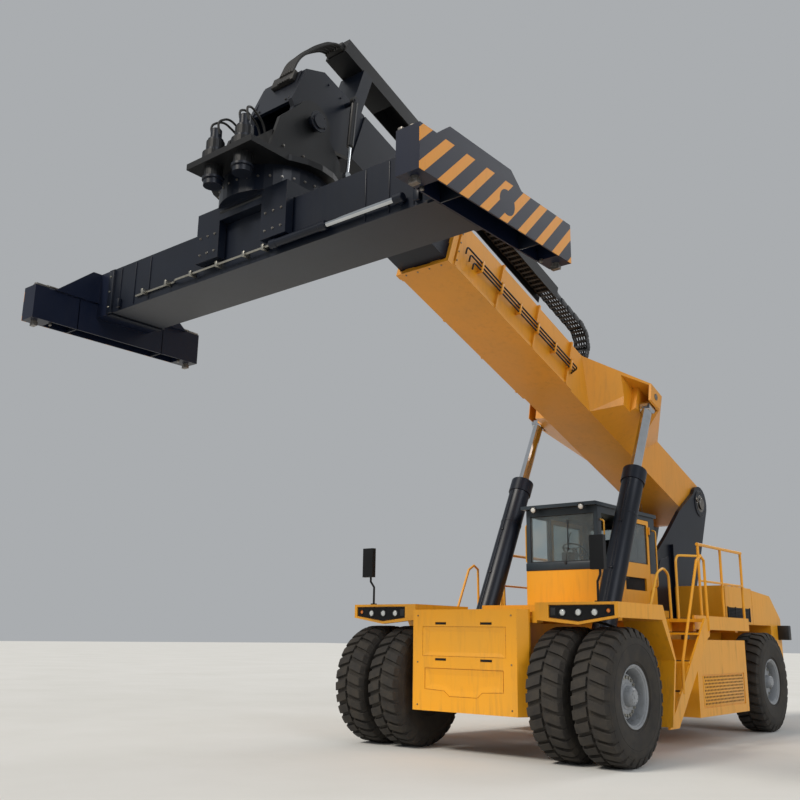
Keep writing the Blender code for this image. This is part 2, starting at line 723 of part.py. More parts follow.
def mirror_arm(label, side):
    """Rear-view mirror on a cranked post."""
    base = (1.86, -0.25) if side < 0 else (1.74, -0.20)
    x, y = base
    pieces = [
        tube([(x, y, FENDER_TOP + GAP), (x, y, 2.16), (x + 0.05, y - 0.02, 2.24), (x + 0.05, y - 0.02, 2.62)], 0.016),
        box((x + 0.05 - 0.095, y - 0.10, 2.30), (x + 0.05 + 0.095, y - 0.03, 2.72)),
        rod((x, y, FENDER_TOP + GAP), (x, y, FENDER_TOP + 0.02), 0.045, 16),
    ]
    if side < 0:
        pieces = [swap_side(piece) for piece in pieces]
    node(f"mirror_{label}", "black", machine, pieces)


def engine_and_hood():
    node("engine_block", "casting", machine, [box((-0.34, 4.30, ENGINE_FLOOR), (0.34, 5.72, 1.66))])
    top = 2.37
    inner = 0.56
    outer = COUNTERWEIGHT_HALF
    front = 4.92
    rear = COUNTERWEIGHT_FRONT - 0.012
    low = FRAME_TOP + GAP
    pieces = [
        box((inner, front, low), (outer, rear, top)),
        box((-outer, front, low), (-inner, rear, top)),
        box((-outer, rear - 0.10, low), (outer, rear, top)),
    ]
    node("engine_hood", "yellow", machine, pieces)


def counterweight():
    """Cast block that closes the tail: full width above the steered wheels, and down behind them."""
    bottom = FRAME_TOP + GAP
    drop = WHEELBASE + 1.10
    outline = [
        (COUNTERWEIGHT_FRONT, bottom),
        (COUNTERWEIGHT_FRONT, COUNTERWEIGHT_TOP),
        (7.15, 2.28),
        (COUNTERWEIGHT_REAR, 1.88),
        (COUNTERWEIGHT_REAR, 1.00),
        (7.45, 0.76),
        (drop, 0.76),
        (drop, bottom),
    ]
    half = COUNTERWEIGHT_HALF
    body = plate(outline, "X", -half, half)
    tow = [
        box((-0.12, COUNTERWEIGHT_REAR - 0.10, 0.86), (0.12, COUNTERWEIGHT_REAR + 0.2, 1.10)),
    ]
    node("counterweight", "yellow", machine, [body], tow)


def boom_tower():
    """Two cheek plates that stand on the rails and carry the boom's pivot pin."""
    low = FRAME_TOP + GAP
    head = arc((PIVOT_Y, PIVOT_Z), 0.33, 150, -35, 10)
    outline = [(4.16, low), (4.20, 2.62), (4.38, 2.92), (4.80, 3.22), (5.45, 3.74)] + head + [(5.74, low)]
    inner = BOOM_WIDTH / 2 + 0.012
    pieces = both_sides([plate(outline, "X", inner, inner + 0.07)])
    pieces.append(rod((-inner - 0.11, PIVOT_Y, PIVOT_Z), (inner + 0.11, PIVOT_Y, PIVOT_Z), PIVOT_PIN, 20))
    pieces.append(rod((-inner - 0.01, 5.15, 2.75), (inner + 0.01, 5.15, 2.75), 0.14, 20))
    pieces.append(box((-inner - 0.01, 4.40, 2.30), (inner + 0.01, 4.46, 2.80)))
    pieces += both_sides([box((inner + 0.06, 4.16, low), (inner + 0.13, 5.74, low + 0.05))])
    pieces += both_sides([box((inner + 0.06, 4.95, low), (inner + 0.13, 5.05, 3.10))])
    node("boom_tower", "navy", machine, pieces)


# ---------------------------------------------------------------- cab
def cab():
    half, wall = CAB_HALF, CAB_WALL
    floor = DECK_TOP + GAP
    base = [box((-half, CAB_FRONT, floor), (half, CAB_REAR, CAB_SILL))]
    base_cuts = [
        box((-half + wall, CAB_FRONT + wall, floor + 0.05), (half - wall, CAB_REAR - wall, CAB_SILL + 0.1)),
    ]
    for side in (1, -1):
        low, high = sorted((side * (half - wall - 0.02), side * (half + 0.1)))
        base_cuts.append(box((low, DOOR_FRONT, floor + 0.05), (high, DOOR_REAR, CAB_SILL + 0.1)))
    lugs = hinge_lug(1, DECK_TOP + 0.28 + 2 * GAP) + hinge_lug(-1, DECK_TOP + 0.28 + 2 * GAP)
    node("cab_base", "yellow", machine, base, base_cuts, lugs)
    low, top = CAB_SILL + GAP, CAB_ROOF
    shell = [
        box((-half, CAB_FRONT + 0.02, low), (half, CAB_REAR, top)),
        box((-half - 0.03, CAB_FRONT - 0.10, top - 0.055), (half + 0.03, CAB_REAR + 0.04, top)),
    ]
    front_low, front_top = low + 0.10, top - 0.16
    shell_cuts = [
        box((-half + wall, CAB_FRONT + 0.02 + wall, low - 0.1), (half - wall, CAB_REAR - wall, top - 0.06)),
        box((-half + 0.07, CAB_FRONT - 0.05, front_low), (half - 0.07, CAB_FRONT + 0.2, front_top)),
        box((-half + 0.09, CAB_REAR - 0.2, low + 0.08), (-0.035, CAB_REAR + 0.02, top - 0.20)),
        box((0.035, CAB_REAR - 0.2, low + 0.08), (half - 0.09, CAB_REAR + 0.02, top - 0.20)),
    ]
    for side in (1, -1):
        x_low, x_high = sorted((side * (half - wall - 0.02), side * (half + 0.1)))
        shell_cuts.append(box((x_low, DOOR_FRONT, low - 0.1), (x_high, DOOR_REAR, top - 0.12)))
        shell_cuts.append(box((x_low, CAB_FRONT + 0.13, low + 0.07), (x_high, DOOR_FRONT - 0.07, top - 0.16)))
    lug_low = CAB_ROOF - 0.12 - DOOR_PLAY - 0.22 - GAP - HINGE_LUG
    node("cab_shell", "slate", machine, shell, shell_cuts, hinge_lug(1, lug_low) + hinge_lug(-1, lug_low))
    seat = CAB_FRONT + 0.035
    node("windscreen", "clear", machine, [
        box((-half + 0.07 + GAP, seat, front_low + GAP), (half - 0.07 - GAP, seat + GLASS, front_top - GAP))])
    rear_seat = CAB_REAR - wall - GAP
    pane = box((-half + 0.08, rear_seat - GLASS, low + 0.06), (half - 0.08, rear_seat, top - 0.18))
    node("rear_window", "clear", machine, [pane])
    cab_inside(floor + 0.05 + GAP)


def hinge_lug(side, low):
    """Lug on the cab's rear pillar, under a knuckle of the door's hinge."""
    axis_x, axis_y = CAB_HALF + HINGE_OUT, DOOR_REAR - 0.02
    pieces = [
        rod((axis_x, axis_y, low), (axis_x, axis_y, low + HINGE_LUG), 0.009, 10),
        box((axis_x - 0.006, axis_y + 0.001, low), (axis_x + 0.008, axis_y + 0.07, low + HINGE_LUG)),
        box((CAB_HALF - 0.01, axis_y + 0.03, low), (axis_x + 0.008, axis_y + 0.07, low + HINGE_LUG)),
    ]
    return pieces if side > 0 else [swap_side(piece) for piece in pieces]


def cab_inside(floor):
    """Driver's seat on its pedestal, and the steering console with its wheel."""
    y = CAB_FRONT + 1.02
    pieces = [
        box((-0.17, y - 0.16, floor), (0.17, y + 0.18, floor + 0.34)),
        box((-0.25, y - 0.26, floor + 0.33), (0.25, y + 0.26, floor + 0.46)),
        plate([(y + 0.16, floor + 0.40), (y + 0.28, floor + 0.40), (y + 0.40, floor + 1.10), (y + 0.30, floor + 1.12)],
              "X", -0.23, 0.23),
        box((-0.33, y - 0.18, floor + 0.58), (-0.255, y + 0.24, floor + 0.64)),
        box((0.255, y - 0.18, floor + 0.58), (0.33, y + 0.24, floor + 0.64)),
        box((-0.33, y + 0.14, floor + 0.42), (-0.24, y + 0.22, floor + 0.62)),
        box((0.24, y + 0.14, floor + 0.42), (0.33, y + 0.22, floor + 0.62)),
    ]
    node("driver_seat", "vinyl", machine, pieces)
    column = CAB_FRONT + 0.30
    console = [
        plate([(column - 0.14, floor), (column + 0.10, floor), (column + 0.16, floor + 0.68),
               (column - 0.10, floor + 0.74)], "X", -0.16, 0.16),
        rod((0, column, floor + 0.60), (0, column + 0.13, floor + 0.86), 0.03, 12),
        rod((0, column + 0.115, floor + 0.835), (0, column + 0.13, floor + 0.865), 0.20, 16),
    ]
    node("steering_console", "black", machine, console)


def cab_door(label, side):
    """Door hinged at its rear edge: a lower panel with a small window, and a glazed frame above."""
    play = DOOR_PLAY
    hinge = empty(f"cab_door_{label}_axis", (side * (CAB_HALF + HINGE_OUT), DOOR_REAR - 0.02, 0), parent=machine)
    length = DOOR_REAR - DOOR_FRONT - 2 * play
    rear = 0.02 - play
    front = rear - length
    low, top = DECK_TOP + 0.06 + GAP, CAB_ROOF - 0.12 - play
    outer = -0.012
    inner = outer - 0.045
    frame_low, frame_top = CAB_SILL + 0.14, top - 0.07
    pieces = [box((inner, front, low), (outer, rear, top))]
    cuts = [
        box((inner - 0.1, front + 0.07, frame_low), (outer + 0.1, rear - 0.07, frame_top)),
        box((inner - 0.1, front + 0.16, low + 0.24), (outer + 0.1, rear - 0.16, low + 0.44)),
    ]
    glass_x = (inner + 0.018, inner + 0.018 + GLASS)
    glass = [box((glass_x[0], front + 0.07 + GAP, frame_low + GAP), (glass_x[1], rear - 0.07 - GAP, frame_top - GAP))]
    pieces.append(rod((0.004, 0, low + 0.1), (0.004, 0, low + 0.22), 0.014, 12))
    pieces.append(rod((0.004, 0, top - 0.22), (0.004, 0, top - 0.1), 0.014, 12))
    pieces.append(box((-0.02, -0.012, low + 0.12), (0.008, 0.012, low + 0.20)))
    pieces.append(box((-0.02, -0.012, top - 0.20), (0.008, 0.012, top - 0.12)))
    if side < 0:
        pieces = [swap_side(piece) for piece in pieces]
        cuts = [swap_side(piece) for piece in cuts]
        glass = [swap_side(piece) for piece in glass]
    node(f"cab_door_{label}", "yellow", hinge, pieces, cuts)
    node(f"cab_door_{label}_glass", "clear", hinge, glass)


# ---------------------------------------------------------------- boom
def outer_boom():
    """Box section with a round tail, side ribs, bottom ledges, front collar and the two cylinder wings."""
    half_w, half_h, wall = BOOM_WIDTH / 2, BOOM_HEIGHT / 2, BOOM_WALL
    side_view = [(-BOOM_FRONT, -half_h)] + arc((0, 0), half_h, -90, 90, 12) + [(-BOOM_FRONT, half_h)]
    pieces = [plate(side_view, "X", -half_w, half_w)]
    ledge = 0.028
    pieces += both_sides([box((half_w - 0.01, -BOOM_FRONT, -half_h), (half_w + ledge, -4.9, -half_h + 0.05))])
    for i in range(4):
        s = BOOM_FRONT - 0.15 - i * RIB_PITCH
        pieces += both_sides([box((half_w - 0.01, -s - 0.02, -half_h), (half_w + 0.045, -s + 0.02, half_h))])
    collar = BOOM_FRONT - 0.10
    pieces.append(box((-half_w - 0.03, -BOOM_FRONT, -half_h - 0.03), (half_w + 0.03, -collar, half_h + 0.03)))
    pieces.append(box((CHAIN_X - 0.17, -BOOM_FRONT + 0.2, half_h - 0.01), (CHAIN_X + 0.17, -3.35, half_h + TRAY)))
    tip_n = half_h - 0.046
    root_x, tip_x = half_w - 0.005, CYL_X + 0.13
    root = [(-4.73, half_h), (-4.25, -half_h), (-2.70, -half_h), (-1.80, half_h)]
    tip = [(-EYE_S - 0.20, tip_n), (-EYE_S - 0.16, 0.06), (-EYE_S + 0.17, 0.06), (-EYE_S + 0.21, tip_n)]
    order = (1, 2, 3, 0)
    wing = hexahedron([root[i] for i in order], [tip[i] for i in order], root_x, tip_x)
    pieces += both_sides([wing])
    inside = box((-half_w + wall, -BOOM_FRONT - 0.1, -half_h + wall), (half_w - wall, 0.6, half_h - wall))
    body = combine(pieces[0], pieces[1:], "UNION")
    slot = CYL_X - 0.10, CYL_X + 0.10
    # the hose chain slides through a notch in the collar's top edge
    notch_low = (CHAIN_X - 0.155, -BOOM_FRONT - 0.1, half_h + 0.003)
    cuts = [inside, box(notch_low, (CHAIN_X + 0.155, -collar + 0.05, half_h + 0.1))]
    cuts += both_sides([box((slot[0], -5.2, -0.6), (slot[1], -EYE_S + 0.17, tip_n - 0.03))])
    cuts += both_sides([box((CYL_X - BARREL_RADIUS - 0.035, -5.2, -0.6), (slot[0] + 0.02, -EYE_S - 0.20, tip_n - 0.03))])
    body = combine(body, cuts, "DIFFERENCE")
    pads = []
    for n in (-1, 1):
        low, high = sorted((n * (INNER_HALF_Z + GAP), n * (half_h - wall + 0.005)))
        pads += both_sides([box((0.14, -BOOM_FRONT, low), (0.30, -BOOM_FRONT + 0.16, high))])
    pads += both_sides([box((INNER_HALF_X + GAP, -BOOM_FRONT, -0.10), (half_w - wall + 0.005, -BOOM_FRONT + 0.16, 0.10))])
    pivot_tube = rod((-half_w, 0, 0), (half_w, 0, 0), 0.21, 20)
    hole = bore((-half_w - 0.2, 0, 0), (half_w + 0.2, 0, 0), PIVOT_PIN)
    node("outer_boom", "yellow", boom, [body, pivot_tube] + pads, [hole])


def inner_boom():
    half_x, half_z = INNER_HALF_X, INNER_HALF_Z
    shell = box((-half_x, -INNER_FRONT, -half_z), (half_x, -INNER_TAIL, half_z))
    inside = box((-half_x + INNER_WALL, -INNER_FRONT - 0.1, -half_z + INNER_WALL),
                 (half_x - INNER_WALL, -INNER_TAIL + 0.1, half_z - INNER_WALL))
    node("inner_boom", "navy", extension, [shell], [inside])


def boom_head():
    """Nose of the inner boom: two cheeks that reach down to the head pin, with a roof and a rear bulkhead."""
    start = -INNER_FRONT - GAP
    nose = [
        (start, -INNER_HALF_Z),
        (start, INNER_HALF_Z + 0.02),
        (-11.05, 0.36),
        (-11.30, 0.16),
        (-11.34, -0.36),
    ] + arc((-HEAD_S, HEAD_N), 0.29, 170, 350, 8)
    inner = HEAD_HALF - 0.06
    pieces = both_sides([plate(nose, "X", inner, HEAD_HALF)])
    pieces.append(box((-inner - 0.01, start - 0.05, -INNER_HALF_Z), (inner + 0.01, start, INNER_HALF_Z)))
    pieces.append(plate([(start, 0.30), (start, 0.345), (-11.05, 0.355), (-11.05, 0.315)], "X", -inner - 0.01,
                        inner + 0.01))
    pieces.append(plate([(-11.04, 0.32), (-11.04, 0.352), (-11.28, 0.155), (-11.26, 0.13)], "X", -inner - 0.01,
                        inner + 0.01))
    pieces.append(box((-inner - 0.01, -11.32, -0.36), (inner + 0.01, -11.28, 0.14)))
    pieces.append(rod((-0.50, -HEAD_S, HEAD_N), (0.50, -HEAD_S, HEAD_N), 0.09, 16))
    # post that carries the front of the hose chain's channel
    pieces.append(box((CHAIN_X - 0.20, start - 0.22, 0.30), (CHAIN_X + 0.20, start - 0.05, CHAIN_TOP - CHANNEL_HEIGHT
                                                          - GAP)))
    reach = DAMPER_X + DAMPER_EYE_HALF + 0.01
    pieces.append(rod((-reach, -DAMPER_S, DAMPER_N), (reach, -DAMPER_S, DAMPER_N), DAMPER_PIN, 16))
    node("boom_head", "navy", extension, pieces)


def chain_channel():
    """Steel trough, open underneath, that leads the hose chain back over the boom."""
    low, top = CHAIN_TOP - CHANNEL_HEIGHT, CHAIN_TOP
    half = CHANNEL_WIDTH / 2
    shell = box((CHAIN_X - half, -10.86, low), (CHAIN_X + half, -CHANNEL_REAR, top))
    inside = box((CHAIN_X - half + 0.012, -9.9, low - 0.1), (CHAIN_X + half - 0.012, -CHANNEL_REAR + 0.1, top - 0.012))
    node("chain_channel", "black", extension, [shell], [inside])


def energy_chain():
    """Hose chain: the upper run inside the trough, the bend at its rear, and the run that lies on the boom."""
    top = CHAIN_TOP - 0.025
    bottom = BOOM_HEIGHT / 2 + TRAY + GAP
    radius = (top - bottom) / 2
    centre = (-CHAIN_REAR - radius, (top + bottom) / 2)
    outer = arc(centre, radius, 90, -90, 14)
    inner = arc(centre, radius - CHAIN_THICK, -90, 90, 14)
    front_top = -9.0
    front_low = centre[0] - 0.85
    outline = [(front_top, top)] + outer + [(front_low, bottom), (front_low, bottom + CHAIN_THICK)] + inner
    outline.append((front_top, top - CHAIN_THICK))
    half = CHAIN_WIDTH / 2
    node("energy_chain", "black", chain_slide, [plate(outline, "X", CHAIN_X - half, CHAIN_X + half)])


def lift_cylinders():
    """Each barrel swings on its foot pin. Each rod slides in its barrel and ends in an eye between the wing's cheeks."""
    for side, label in ((1, "left"), (-1, "right")):
        x = side * CYL_X
        swing = empty(f"lift_cylinder_{label}_axis", (x, CYL_BASE_Y, CYL_BASE_Z), (-CYL_LEAN, 0, 0), machine)
        slide = empty(f"lift_rod_{label}_axis", parent=swing)
        barrel = [
            rod((0, 0, 0.17), (0, 0, BARREL_LENGTH), BARREL_RADIUS, 20),
            rod((0, 0, BARREL_LENGTH - 0.24), (0, 0, BARREL_LENGTH - 0.012), BARREL_RADIUS + 0.018, 20),
            rod((-0.095, 0, 0), (0.095, 0, 0), 0.115, 16),
            box((-0.085, -0.10, 0.03), (0.085, 0.10, 0.20)),
        ]
        cuts = [
            rod((0, 0, 0.18), (0, 0, BARREL_LENGTH + 0.1), ROD_RADIUS + SLIDE_PLAY, 16),
            bore((-0.2, 0, 0), (0.2, 0, 0), 0.055),
        ]
        node(f"lift_cylinder_{label}", "navy", swing, barrel, cuts)
        stem = [
            rod((0, 0, CYL_SPAN - ROD_LENGTH), (0, 0, CYL_SPAN - 0.05), ROD_RADIUS, 16),
            rod((-0.085, 0, CYL_SPAN), (0.085, 0, CYL_SPAN), EYE_RADIUS, 16),
        ]
        node(f"lift_rod_{label}", "steel", slide, stem)


# ---------------------------------------------------------------- spreader
def head_frame():
    """Level frame that hangs on the head pin: two cheeks, a round slew plate and two slew drives."""
    y, z = HEAD_Y, HEAD_Z
    low = SLEW_JOINT_Z + GAP
    cheek = arc((y, z), 0.27, -20, 150, 9) + [(-4.62, 6.95), (-4.80, low + 0.02), (-3.62, low + 0.02), (-3.66, 6.80)]
    inner, outer = HEAD_HALF + 0.027, HEAD_HALF + 0.072
    shift = Vector((0, -HEAD_Y, -HEAD_Z))
    pieces = both_sides([plate(cheek, "X", inner, outer)])
    ring = arc((0, SLEW_Y), 0.74, 0, 345, 23)
    pieces.append(plate(ring, "Z", low, low + 0.07))
    pieces.append(box((-0.42, -5.17, low), (0.62, -4.5, low + 0.07)))
    pieces.append(box((-inner - 0.02, -4.70, low + 0.05), (inner + 0.02, -4.62, low + 0.42)))
    for x in (-0.14, 0.33):
        pieces.append(rod((x, -5.02, low - 0.22), (x, -5.02, low + 0.30), 0.10, 20))
        pieces.append(rod((x, -5.02, low + 0.02), (x, -5.02, low + 0.16), 0.135, 20))
    foot = (DAMPER_FOOT_Y, DAMPER_FOOT_Z)
    pieces += both_sides([rod((inner, *foot), (outer, *foot), 0.070, 16)])
    cuts = both_sides([bore((inner - 0.1, y, z), (inner + 0.2, y, z), 0.09, 16)])
    for piece in pieces + cuts:
        piece.data.transform(Matrix.Translation(shift))
    node("head_frame", "black", hanger, pieces, cuts)


def sway_dampers():
    """A damper on each side, from a pin on the boom head down to the level frame."""
    top = Vector((0, -DAMPER_S, DAMPER_N))
    drop = Vector((0, DAMPER_FOOT_Y - PIVOT_Y, DAMPER_FOOT_Z - PIVOT_Z))
    run = Matrix.Rotation(BOOM_ANGLE, 3, "X") @ drop - top
    span = run.length
    for side, label in ((1, "left"), (-1, "right")):
        place = (side * DAMPER_X, *top.yz)
        swing = empty(f"damper_{label}_axis", place, (atan2(run.y, -run.z), 0, 0), extension)
        slide = empty(f"damper_rod_{label}_axis", parent=swing)
        half = DAMPER_EYE_HALF
        barrel = [
            rod((-half, 0, 0), (half, 0, 0), 0.058, 20),
            rod((0, 0, -0.02), (0, 0, -DAMPER_BARREL), 0.042, 16),
        ]
        cuts = [
            rod((0, 0, -0.066), (0, 0, -DAMPER_BARREL - 0.1), 0.019 + SLIDE_PLAY, 12),
            bore((-0.1, 0, 0), (0.1, 0, 0), DAMPER_PIN, 16),
        ]
        node(f"damper_barrel_{label}", "black", swing, barrel, cuts)
        stem = [
            rod((-half, 0, -span), (half, 0, -span), 0.050, 20),
            rod((0, 0, -span + 0.02), (0, 0, -DAMPER_ROD_TOP), 0.019, 12),
        ]
        node(f"damper_rod_{label}", "steel", slide, stem)


def shift_frame():
    """Turning part of the head: slew ring and the saddle that the spreader's beam slides through."""
    top = SLEW_JOINT_Z
    wrap = BEAM_HALF_Y + 0.012
    pieces = [
        rod((0, SLEW_Y, SHIFT_TOP - 0.01), (0, SLEW_Y, top), 0.62, 40),
        box((-0.72, SLEW_Y - wrap - 0.10, BEAM_TOP + 0.008), (0.72, SLEW_Y + wrap + 0.10, SHIFT_TOP)),
    ]
    for low_x, high_x in ((-0.70, -0.50), (0.50, 0.70)):
        pieces.append(box((low_x, SLEW_Y - 0.30, BEAM_TOP + GAP), (high_x, SLEW_Y + 0.30, BEAM_TOP + 0.02)))
    for low_x, high_x in ((-0.72, -0.34), (0.34, 0.72)):
        for low_y, high_y in ((SLEW_Y - wrap - 0.10, SLEW_Y - wrap), (SLEW_Y + wrap, SLEW_Y + wrap + 0.10)):
            pieces.append(box((low_x, low_y, BEAM_BOTTOM + 0.16), (high_x, high_y, SHIFT_TOP)))
    node("side_shift_frame", "navy", slew, pieces)


def main_beam():
    half_y = BEAM_HALF_Y
    shell = [box((-BEAM_HALF_X, SLEW_Y - half_y, BEAM_BOTTOM), (BEAM_HALF_X, SLEW_Y + half_y, BEAM_TOP))]
    shell.append(box((-BEAM_HALF_X, SLEW_Y - half_y, BEAM_BOTTOM - 0.02),
                     (-BEAM_HALF_X + 0.08, SLEW_Y + half_y, BEAM_TOP + 0.006)))
    shell.append(box((BEAM_HALF_X - 0.08, SLEW_Y - half_y, BEAM_BOTTOM - 0.02), (BEAM_HALF_X, SLEW_Y + half_y,
                                                                                BEAM_TOP + 0.006)))
    rib = 0.008
    cuts = []
    for low, high in ((-half_y + BEAM_WALL, -rib), (rib, half_y - BEAM_WALL)):
        cuts.append(box((-BEAM_HALF_X - 0.1, SLEW_Y + low, BEAM_BOTTOM + BEAM_WALL),
                        (BEAM_HALF_X + 0.1, SLEW_Y + high, BEAM_TOP - BEAM_WALL)))
    node("spreader_beam", "navy", side_shift, shell, cuts)


def end_beam(label, side):
    """Telescopic arm with its cross-beam; the cross-beam carries a twistlock at each corner of a container."""
    arm_play = 0.008
    rib = 0.008
    if side > 0:
        arm_y = (SLEW_Y + rib + arm_play, SLEW_Y + BEAM_HALF_Y - BEAM_WALL - arm_play)
    else:
        arm_y = (SLEW_Y - BEAM_HALF_Y + BEAM_WALL + arm_play, SLEW_Y - rib - arm_play)
    arm_low, arm_top = BEAM_BOTTOM + BEAM_WALL + arm_play, BEAM_TOP - BEAM_WALL - arm_play
    slide = empty(f"end_beam_{label}_axis", parent=side_shift)
    tail = -side * 1.45

    def span(a, b):
        return tuple(sorted((a, b)))

    arm_x = span(tail, side * (END_INNER_X + 0.02))
    arm = box((arm_x[0], arm_y[0], arm_low), (arm_x[1], arm_y[1], arm_top))
    hollow_x = span(tail - side * 0.1, side * (END_INNER_X - 0.10))
    hollow = box((hollow_x[0], arm_y[0] + 0.016, arm_low + 0.016), (hollow_x[1], arm_y[1] - 0.016, arm_top - 0.016))
    beam_x = span(side * END_INNER_X, side * END_OUTER_X)
    front, rear = SLEW_Y - END_HALF_Y, SLEW_Y + END_HALF_Y
    beam = box((beam_x[0], front, END_BOTTOM), (beam_x[1], rear, END_TOP))
    block_x = span(side * (BEAM_HALF_X + 0.02), side * (END_INNER_X + 0.02))
    block = box((block_x[0], SLEW_Y - BEAM_HALF_Y, BEAM_BOTTOM), (block_x[1], SLEW_Y + BEAM_HALF_Y, BEAM_TOP))
    gusset = plate([(SLEW_Y - 0.98, END_TOP - 0.01), (SLEW_Y + 0.98, END_TOP - 0.01), (SLEW_Y + 0.50, BEAM_TOP),
                    (SLEW_Y - 0.50, BEAM_TOP)], "X", *span(side * (END_INNER_X - 0.03), side * (END_INNER_X + 0.02)))
    pad_x = span(tail, tail + side * 0.16)
    pad = box((pad_x[0], arm_y[0] + 0.04, BEAM_BOTTOM + BEAM_WALL + GAP), (pad_x[1], arm_y[1] - 0.04, arm_low + 0.008))
    pieces = [arm, block, beam, gusset, pad]
    cuts = [hollow]
    inside_x = span(side * (END_INNER_X + 0.015), side * (END_OUTER_X - 0.015))
    cuts.append(box((inside_x[0], front + 0.26, END_BOTTOM - 0.1), (inside_x[1], rear - 0.26, END_TOP - 0.015)))
    for end in (1, -1):
        y = SLEW_Y + end * LOCK_Y
        cuts.append(bore((side * LOCK_X, y, END_BOTTOM - 0.1), (side * LOCK_X, y, END_TOP + 0.1), 0.035, 16))
    node(f"end_beam_{label}", "navy", slide, pieces, cuts)
    for end, place in ((-1, "front"), (1, "rear")):
        twistlock(f"twistlock_{label}_{place}", slide, side * LOCK_X, SLEW_Y + end * LOCK_Y)


def twistlock(name, parent, x, y):
    """Turning lock: a stem through the corner of the end beam, its collar above and its head below."""
    axis = empty(f"{name}_axis", (x, y, 0), parent=parent)
    pieces = [
        rod((0, 0, END_BOTTOM - 0.04), (0, 0, END_TOP + 0.03), 0.035, 16),
        rod((0, 0, END_TOP + GAP), (0, 0, END_TOP + 0.035), 0.06, 16),
        box((-0.045, -0.026, LOCK_TIP_Z), (0.045, 0.026, END_BOTTOM - 0.022)),
    ]
    node(name, "steel", axis, pieces)


def build():
    front_wheels()
    rear_wheels()
    front_axle()
    steer_axle()
    chassis_frame()
    front_nose()
    for label, side in (("left", 1), ("right", -1)):
        fender(label, side)
        platform(label, side)
        side_box(label, side)
        mirror_arm(label, side)
        cab_door(label, side)
        end_beam(label, side)
    engine_and_hood()
    counterweight()
    boom_tower()
    cab()
    outer_boom()
    inner_boom()
    boom_head()
    chain_channel()
    energy_chain()
    lift_cylinders()
    head_frame()
    sway_dampers()
    shift_frame()
    main_beam()


build()
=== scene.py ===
# %% [markdown]
# # A reach stacker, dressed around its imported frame
# The frame holds every part that moves or carries load, in metres. This lesson adds what the eye
# reads next: real paint, rubber and glass, tread on the tyres, lamps, pipes, bolts and the links of
# the hose chain.

# %% Load the frame
import json
from math import atan2, cos, pi, radians, sin

import bmesh
import bpy
from mathutils import Matrix, Vector


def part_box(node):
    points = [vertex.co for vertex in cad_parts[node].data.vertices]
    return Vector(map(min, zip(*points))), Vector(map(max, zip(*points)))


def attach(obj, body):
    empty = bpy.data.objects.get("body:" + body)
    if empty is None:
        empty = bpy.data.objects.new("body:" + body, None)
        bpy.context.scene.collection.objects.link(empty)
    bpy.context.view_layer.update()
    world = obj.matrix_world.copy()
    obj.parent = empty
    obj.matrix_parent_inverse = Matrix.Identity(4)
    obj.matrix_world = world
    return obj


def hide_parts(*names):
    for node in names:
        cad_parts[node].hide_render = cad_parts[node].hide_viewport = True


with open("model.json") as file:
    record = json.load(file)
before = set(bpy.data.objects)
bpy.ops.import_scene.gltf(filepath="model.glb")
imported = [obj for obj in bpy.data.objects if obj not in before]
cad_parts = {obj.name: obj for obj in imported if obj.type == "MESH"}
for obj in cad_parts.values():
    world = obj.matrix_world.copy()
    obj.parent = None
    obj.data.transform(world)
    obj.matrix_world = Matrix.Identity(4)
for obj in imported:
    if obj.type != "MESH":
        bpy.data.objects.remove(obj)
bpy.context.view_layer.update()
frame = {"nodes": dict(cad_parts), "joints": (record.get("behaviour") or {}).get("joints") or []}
nodes = frame["nodes"]
joints = {joint["name"]: joint for joint in frame["joints"]}

# %% [markdown]
# ## Two sets of axes
# Measures along the machine start at the front axle, and measures along the boom start at its pivot
# pin. Both places are read from the frame, so that nothing has to be fitted by hand.

# %% Places
MM = 0.001
tyre_low, tyre_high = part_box("front_left_outer_tyre")
AXLE_Y = (tyre_low.y + tyre_high.y) / 2
TYRE_RADIUS = (tyre_high.z - tyre_low.z) / 2
PIVOT = Vector(joints["boom_lift"]["pos_m"])
along = Vector(joints["boom_extend"]["axis"])
BOOM_ANGLE = atan2(-along.z, along.y)
MACHINE = Matrix.Translation((0, AXLE_Y, 0))
BOOM = Matrix.Translation(PIVOT) @ Matrix.Rotation(-BOOM_ANGLE, 4, "X")
SIDES = ((1, "left"), (-1, "right"))
print("front axle at y", round(AXLE_Y, 3), "boom at", round(BOOM_ANGLE * 180 / pi, 2), "degrees")

# %% [markdown]
# ## The camera
# It stands low at the machine's front left, looking up at the boom. It comes first, so that every
# later piece can be judged through it.

# %% Camera
CAMERA_PLACE = (7.174, -10.668, 1.469)
CAMERA_YAW, CAMERA_PITCH, CAMERA_ROLL = radians(39.519), radians(14.394), radians(0.851)
FILM_MM, LENS_MM = 36.0, 41.39

forward = Vector((-sin(CAMERA_YAW) * cos(CAMERA_PITCH), cos(CAMERA_YAW) * cos(CAMERA_PITCH),
                  sin(CAMERA_PITCH)))
level = Vector((cos(CAMERA_YAW), sin(CAMERA_YAW), 0))
upright = level.cross(forward)
right = level * cos(CAMERA_ROLL) + upright * sin(CAMERA_ROLL)
upward = upright * cos(CAMERA_ROLL) - level * sin(CAMERA_ROLL)
camera_data = bpy.data.cameras.new("view")
camera_data.sensor_width = FILM_MM
camera_data.lens = LENS_MM
camera_data.clip_end = 200
camera = bpy.data.objects.new("view", camera_data)
bpy.context.scene.collection.objects.link(camera)
turn = Matrix((right, upward, -forward)).transposed().to_4x4()
camera.matrix_world = MACHINE @ Matrix.Translation(CAMERA_PLACE) @ turn
bpy.context.scene.camera = camera
print("camera at", [round(c, 2) for c in camera.matrix_world.translation])

# %% [markdown]
# ## Colours and one helper for nodes
# A colour is picked as an sRGB hex value, as on a paint card. Shaders work in linear light, so one
# function turns it. One more adds a node with its settings and links.


